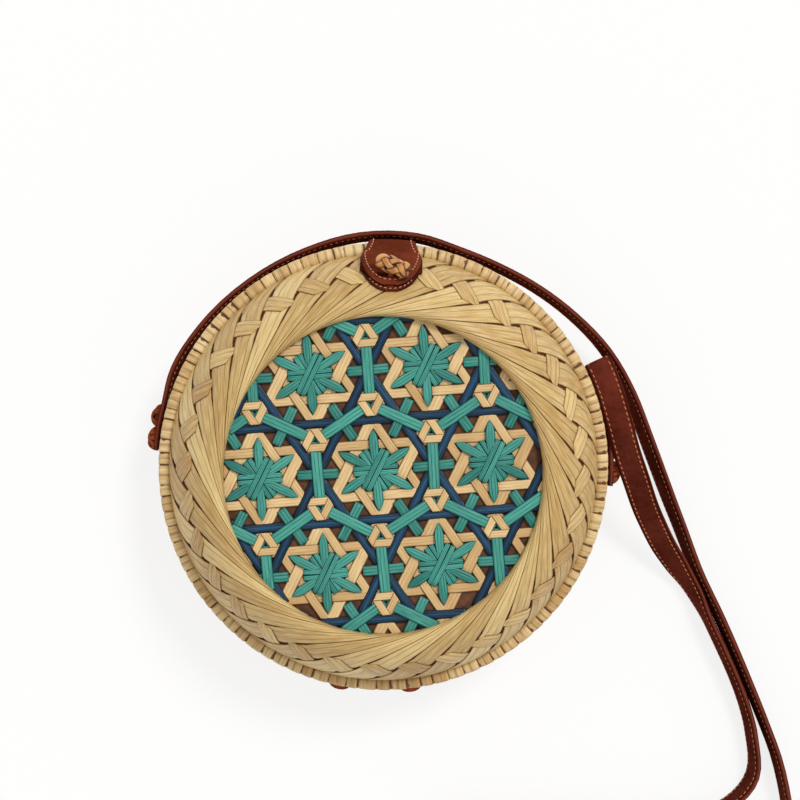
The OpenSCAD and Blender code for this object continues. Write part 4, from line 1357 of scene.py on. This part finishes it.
def tongue(name, path, tips, width, thick, finish, columns=22):
    """A leather tongue along a path of (radius, height) on its inner side. tips are the radii of its
    round ends, or None for a square end, at the path's start and end."""
    vertices, faces, wear_and_highlight = [], [], []
    rows = len(path)
    normals = path_normals(path)
    halves = []
    for i, (r, t) in enumerate(path):
        half = waist(r, width / 2)
        tip = tips[0] if i < rows / 2 else tips[1]
        square = None if tip is None else end_square(r, tip, width / 2)
        halves.append(half if square is None else min(half, math.sqrt(max(square, 0))))
    bevel = thick * bevel_share
    for layer in (0, 1):
        for i, (r, t) in enumerate(path):
            end_gap = min(i, rows - 1 - i) / 2.0
            for j in range(columns + 1):
                s = 2 * j / columns - 1
                s = math.copysign(1 - (1 - abs(s)) ** 1.35, s)
                edge = (1 - abs(s)) * max(halves[i], 1e-5)
                drop = bevel * (1 - min(edge / edge_round, end_gap, 1)) ** 2
                vertices.append(over_bag(s * halves[i], (r, t), normals[i], thick - drop if layer else drop))
                wear_and_highlight.append(0.9 * (1 - min(edge / edge_worn, 1)))
    wide = columns + 1
    size = rows * wide
    for i in range(rows - 1):
        for j in range(columns):
            a = i * wide + j
            faces.append((a, a + wide, a + wide + 1, a + 1))
            faces.append((a + size, a + size + 1, a + size + wide + 1, a + size + wide))
    loop = [j for j in range(columns)] + [i * wide + columns for i in range(rows - 1)]
    loop += [(rows - 1) * wide + j for j in range(columns, 0, -1)]
    loop += [i * wide for i in range(rows - 1, 0, -1)]
    for k, a in enumerate(loop):
        b = loop[(k + 1) % len(loop)]
        faces.append((a, b, b + size, a + size))
    return leather_piece(name, vertices, faces, wear_and_highlight, finish)


def over_bag(x, place, out, lift):
    """A point beside the middle line of a tongue, lifted out of its path and bent round the bag."""
    r, t = place[0] + out[0] * lift, place[1] + out[1] * lift
    return Vector((x, math.sqrt(max(r * r - x * x, 0)), half_depth + t))


def spaced(path):
    """The same path with points at even steps."""
    stops = walk(path, path_step, path_step)
    even = [tuple(Vector(path[i]).lerp(Vector(path[i + 1]), share)) for i, share in stops]
    return [path[0]] + even + [path[-1]]


def rounded(path, times=3):
    for _ in range(times):
        path = [path[0]] + [
            tuple((path[i - 1][k] + 2 * path[i][k] + path[i + 1][k]) / 4 for k in range(2))
            for i in range(1, len(path) - 1)
        ] + [path[-1]]
    return path


rim_r = 0.1001
back_part = [section_point(a, root_out) for a in (angle_at(root_tip), 60, 54, 48, 45)]
rim_part = [
    (rim_r - 0.0006, -0.0085), (rim_r, -0.0068), (rim_r, 0.0), (rim_r, 0.0068), (rim_r - 0.0008, 0.009)
]
front_part = [section_point(a, flap_out) for a in (45, 48, 54, 60, 66, angle_at(flap_tip))]
flap_path = rounded(spaced([(r, -t) for r, t in back_part] + rim_part + front_part))
flap_finish = leather("flap_leather", colour(127, 60, 38), colour(94, 41, 26), colour(50, 17, 11))
flap = tongue("closure_flap_leather", flap_path, (root_tip, flap_tip), flap_width, flap_thick, flap_finish)

toggle_r, toggle_t = section_point(toggle_angle, 0)
# The way out of the shell's curve there, up from the plane of the rims
toggle_slope = math.tan(math.radians(toggle_angle)) ** (2 - bulge_power) * (wall_r - ridge_r) / half_depth
toggle_frame = Matrix.Translation((0, toggle_r, half_depth + toggle_t)) @ Matrix.Rotation(
    math.atan(toggle_slope) - math.radians(90), 4, "X"
)
slit_steps = 24
slit_points = []
for k in range(slit_steps):
    c, s = math.cos(2 * math.pi * k / slit_steps), math.sin(2 * math.pi * k / slit_steps)
    slit_points.append((slit_half * (1 if c > 0 else -1) + slit_end * c, slit_end * s))
cutter_vertices = [toggle_frame @ Vector((x, y, z)) for z in (slit_low, slit_high) for x, y in slit_points]
cutter = new_piece("slit_cutter", cutter_vertices, tube(2, slit_steps), flap_finish)
normals_outward(cutter)
cut = flap.modifiers.new("slit", "BOOLEAN")
cut.object = cutter
cut.operation = "DIFFERENCE"
flap.data = evaluated_mesh(flap)
bpy.data.objects.remove(cutter)
flap.data.set_sharp_from_angle(angle=math.radians(45))
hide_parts("closure_flap", "flap_root")
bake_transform(flap)


def edge_places(path, tips, width, inset, pitch, lift, keep=None):
    """Places for stitches along a tongue's outline, an inset within its edge."""
    normals = path_normals(path)
    part = []
    for i, (r, t) in enumerate(path):
        half = waist(r, width / 2) - inset
        tip = tips[0] if i < len(path) / 2 else tips[1]
        square = None if tip is None else end_square(r, tip, width / 2, inset)
        if square is not None:
            half = math.sqrt(max(square, 0))
        if half:
            part.append((i, half))
    line = []
    for i, x in [(i, -half) for i, half in part] + part[::-1]:
        out = normals[i]
        spot = over_bag(x, path[i], out, lift)
        slope = x / (path[i][0] + out[0] * lift)
        line.append((spot, Vector((slope * out[0], math.sqrt(1 - slope ** 2) * out[0], out[1])).normalized()))
    line.append(line[0])
    places = []
    for i, share in walk([spot for spot, _ in line], pitch, pitch / 2):
        (a, out_a), (b, out_b) = line[i], line[i + 1]
        spot = a.lerp(b, share)
        if keep is None or keep(spot):
            places.append((spot, (b - a).normalized(), out_a.lerp(out_b, share).normalized()))
    return places


pale_thread = thread("pale_thread", colour(170, 100, 74), colour(224, 168, 136))
# The row's distance within the edge, and what of a stitch's height is sunk in the leather
flap_inset, flap_pitch, sunk = 0.0022, 0.0023, 0.00002
flap_stitch_long, flap_stitch_wide = 0.0016, 0.00055
flap_stitches = sew(
    "flap_stitches",
    edge_places(flap_path, (root_tip, flap_tip), flap_width, flap_inset, flap_pitch, flap_thick - sunk),
    flap_stitch_long, flap_stitch_wide, pale_thread,
)
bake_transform(flap_stitches)

# Closure patch
# A second tongue of the same leather is sewn to the front wall under the flap, and shows as a narrow
# border round the flap's end.
patch_width, patch_thick, patch_out = 0.027, 0.0012, 0.0009
patch_tip = 0.0784
patch_inset, patch_pitch, patch_seam_end = 0.0009, 0.0022, 0.0845
patch_stitch_long, patch_stitch_wide = 0.0015, 0.0005
patch_path = [section_point(a, patch_out) for a in (24, 30, 36, 42, 48, 54, 60, 66, angle_at(patch_tip))]
patch_path = rounded(spaced(patch_path), 1)
# Painted shade: the patch's leather is coloured darker than the flap's, for the shade at the flap's edge
# where its border shows.
patch_shaded_finish = leather("patch_leather", colour(100, 42, 28), colour(74, 28, 18), colour(42, 14, 10))
patch = tongue("closure_patch_leather", patch_path, (None, patch_tip), patch_width, patch_thick, patch_shaded_finish)
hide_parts("closure_patch")
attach(patch, "lid")
patch_stitches = sew(
    "patch_stitches",
    edge_places(
        patch_path, (None, patch_tip), patch_width, patch_inset, patch_pitch, patch_thick - sunk,
        lambda spot: spot[1] < patch_seam_end,
    ),
    patch_stitch_long, patch_stitch_wide, pale_thread,
)
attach(patch_stitches, "lid")

# Toggle
# A barrel knot, plaited over and under of one flat thong, with the stem of the same thong through the
# wall. It is pushed through the flap's slit and turned to lock it.
leads, bights = 5, 4
barrel_half, barrel_radius = 0.0074, 0.0030
braid_half, braid_thick, braid_wave = 0.00155, 0.0009, 0.0004
# The splints, the patch and the flap lie under the barrel, with a little air over each tongue
splints_out, tongue_air, barrel_seat = 0.00095, 0.0003, 0.0042
toggle_lift = splints_out + patch_thick + tongue_air + flap_thick + tongue_air + barrel_seat
toggle_shift, toggle_lean = 0.0009, math.radians(-30)


def knot_path(s):
    """Turn round the barrel and place along it, as the thong runs, for s from 0 to leads turns."""
    return (s * 2 * math.pi, barrel_half * 0.86 * math.cos(2 * math.pi * s * bights / leads))


# The thong crosses itself where two of its turns are at the same place along the barrel. That is
# looked for at even steps, and a crossing that falls on a step can be found on both sides of it.
samples, same_crossing = 1000, 0.02
found = set()
for lead in range(1, leads):
    for k in range(samples):
        s = leads * k / samples
        gap = knot_path(s)[1] - knot_path(s + lead)[1]
        later = knot_path(s + leads / samples)[1] - knot_path(s + lead + leads / samples)[1]
        if gap * later < 0 or gap == 0:
            found.add(round(s, 3))
passes = []
for s in sorted(found):
    if not passes or s - passes[-1] > same_crossing:
        passes.append(s)


def ride_height(s):
    """Up at one crossing and down at the next."""
    s = s % leads
    stops = [passes[-1] - leads] + passes + [passes[0] + leads]
    for k in range(len(stops) - 1):
        if stops[k] <= s <= stops[k + 1]:
            share = (s - stops[k]) / (stops[k + 1] - stops[k])
            return math.cos(math.pi * (k + share))
    return 0.0


toggle_frame = toggle_frame @ Matrix.Translation((toggle_shift, 0, toggle_lift))
toggle_frame = toggle_frame @ Matrix.Rotation(toggle_lean, 4, "Z")
spin_only = toggle_frame.to_3x3()
plaited = []
steps = 260
for i in range(steps + 1):
    s = leads * i / steps
    turn, place = knot_path(s)
    ahead_turn, ahead_place = knot_path(s + 0.01)
    back_turn, back_place = knot_path(s - 0.01)
    body_r = barrel_radius * (0.55 + 0.45 * math.sqrt(max(1 - (place / barrel_half) ** 2, 0)))
    out = Vector((0, math.cos(turn), math.sin(turn)))
    spot = Vector((place, 0, 0)) + out * (body_r + braid_wave * ride_height(s))
    run = Vector((ahead_place - back_place, 0, 0)) + Vector((0, -math.sin(turn), math.cos(turn))) * (
        body_r * (ahead_turn - back_turn)
    )
    across = spin_only @ out.cross(run.normalized())
    plaited.append((toggle_frame @ spot, across, spin_only @ out, braid_half, braid_thick))
braid_section = (
    (-1.0, -0.5), (1.0, -0.5), (1.0, 0.05), (0.62, 0.42), (0.0, 0.55), (-0.62, 0.42), (-1.0, 0.05)
)

plait_finish = Finish("plaited_leather")
u, v, _ = plait_finish.split(plait_finish.node("ShaderNodeUVMap", {"uv_map": "lie"}))
fibre = plait_finish.noise(plait_finish.vector(u * 14, v * 1.5), 1.0, 3)
patchy = plait_finish.noise(plait_finish.place(), 240, 2)
# Painted shade: the thong darkens at both long edges, for the dark gaps between its turns.
edge = long_edges(u, 0.22)
shade = (fibre * 0.5 + patchy * 0.6).within(0.3, 0.8)
body = plait_finish.mix(shade, colour(156, 88, 38), colour(240, 176, 106))
plait_finish.set(
    Base_Color=plait_finish.mix(edge, body, colour(72, 30, 12)), Roughness=0.42,
    Normal=plait_finish.bump(fibre * 0.4 - edge, 0.0003),
)
knot = strips_mesh("toggle_plait", [(plaited, 0.3)], None, plait_finish, braid_section)
vertices, faces = ball(barrel_half * 0.93, barrel_radius * 0.9, barrel_radius * 0.9, -barrel_radius, 12, 24)
core = new_piece("toggle_core", [toggle_frame @ Vector(v) for v in vertices], faces, plait_finish)
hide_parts("toggle_knot")
for piece in (knot, core):
    normals_outward(piece)
    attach(piece, "toggle")
refinish("toggle_stem", knot_finish)
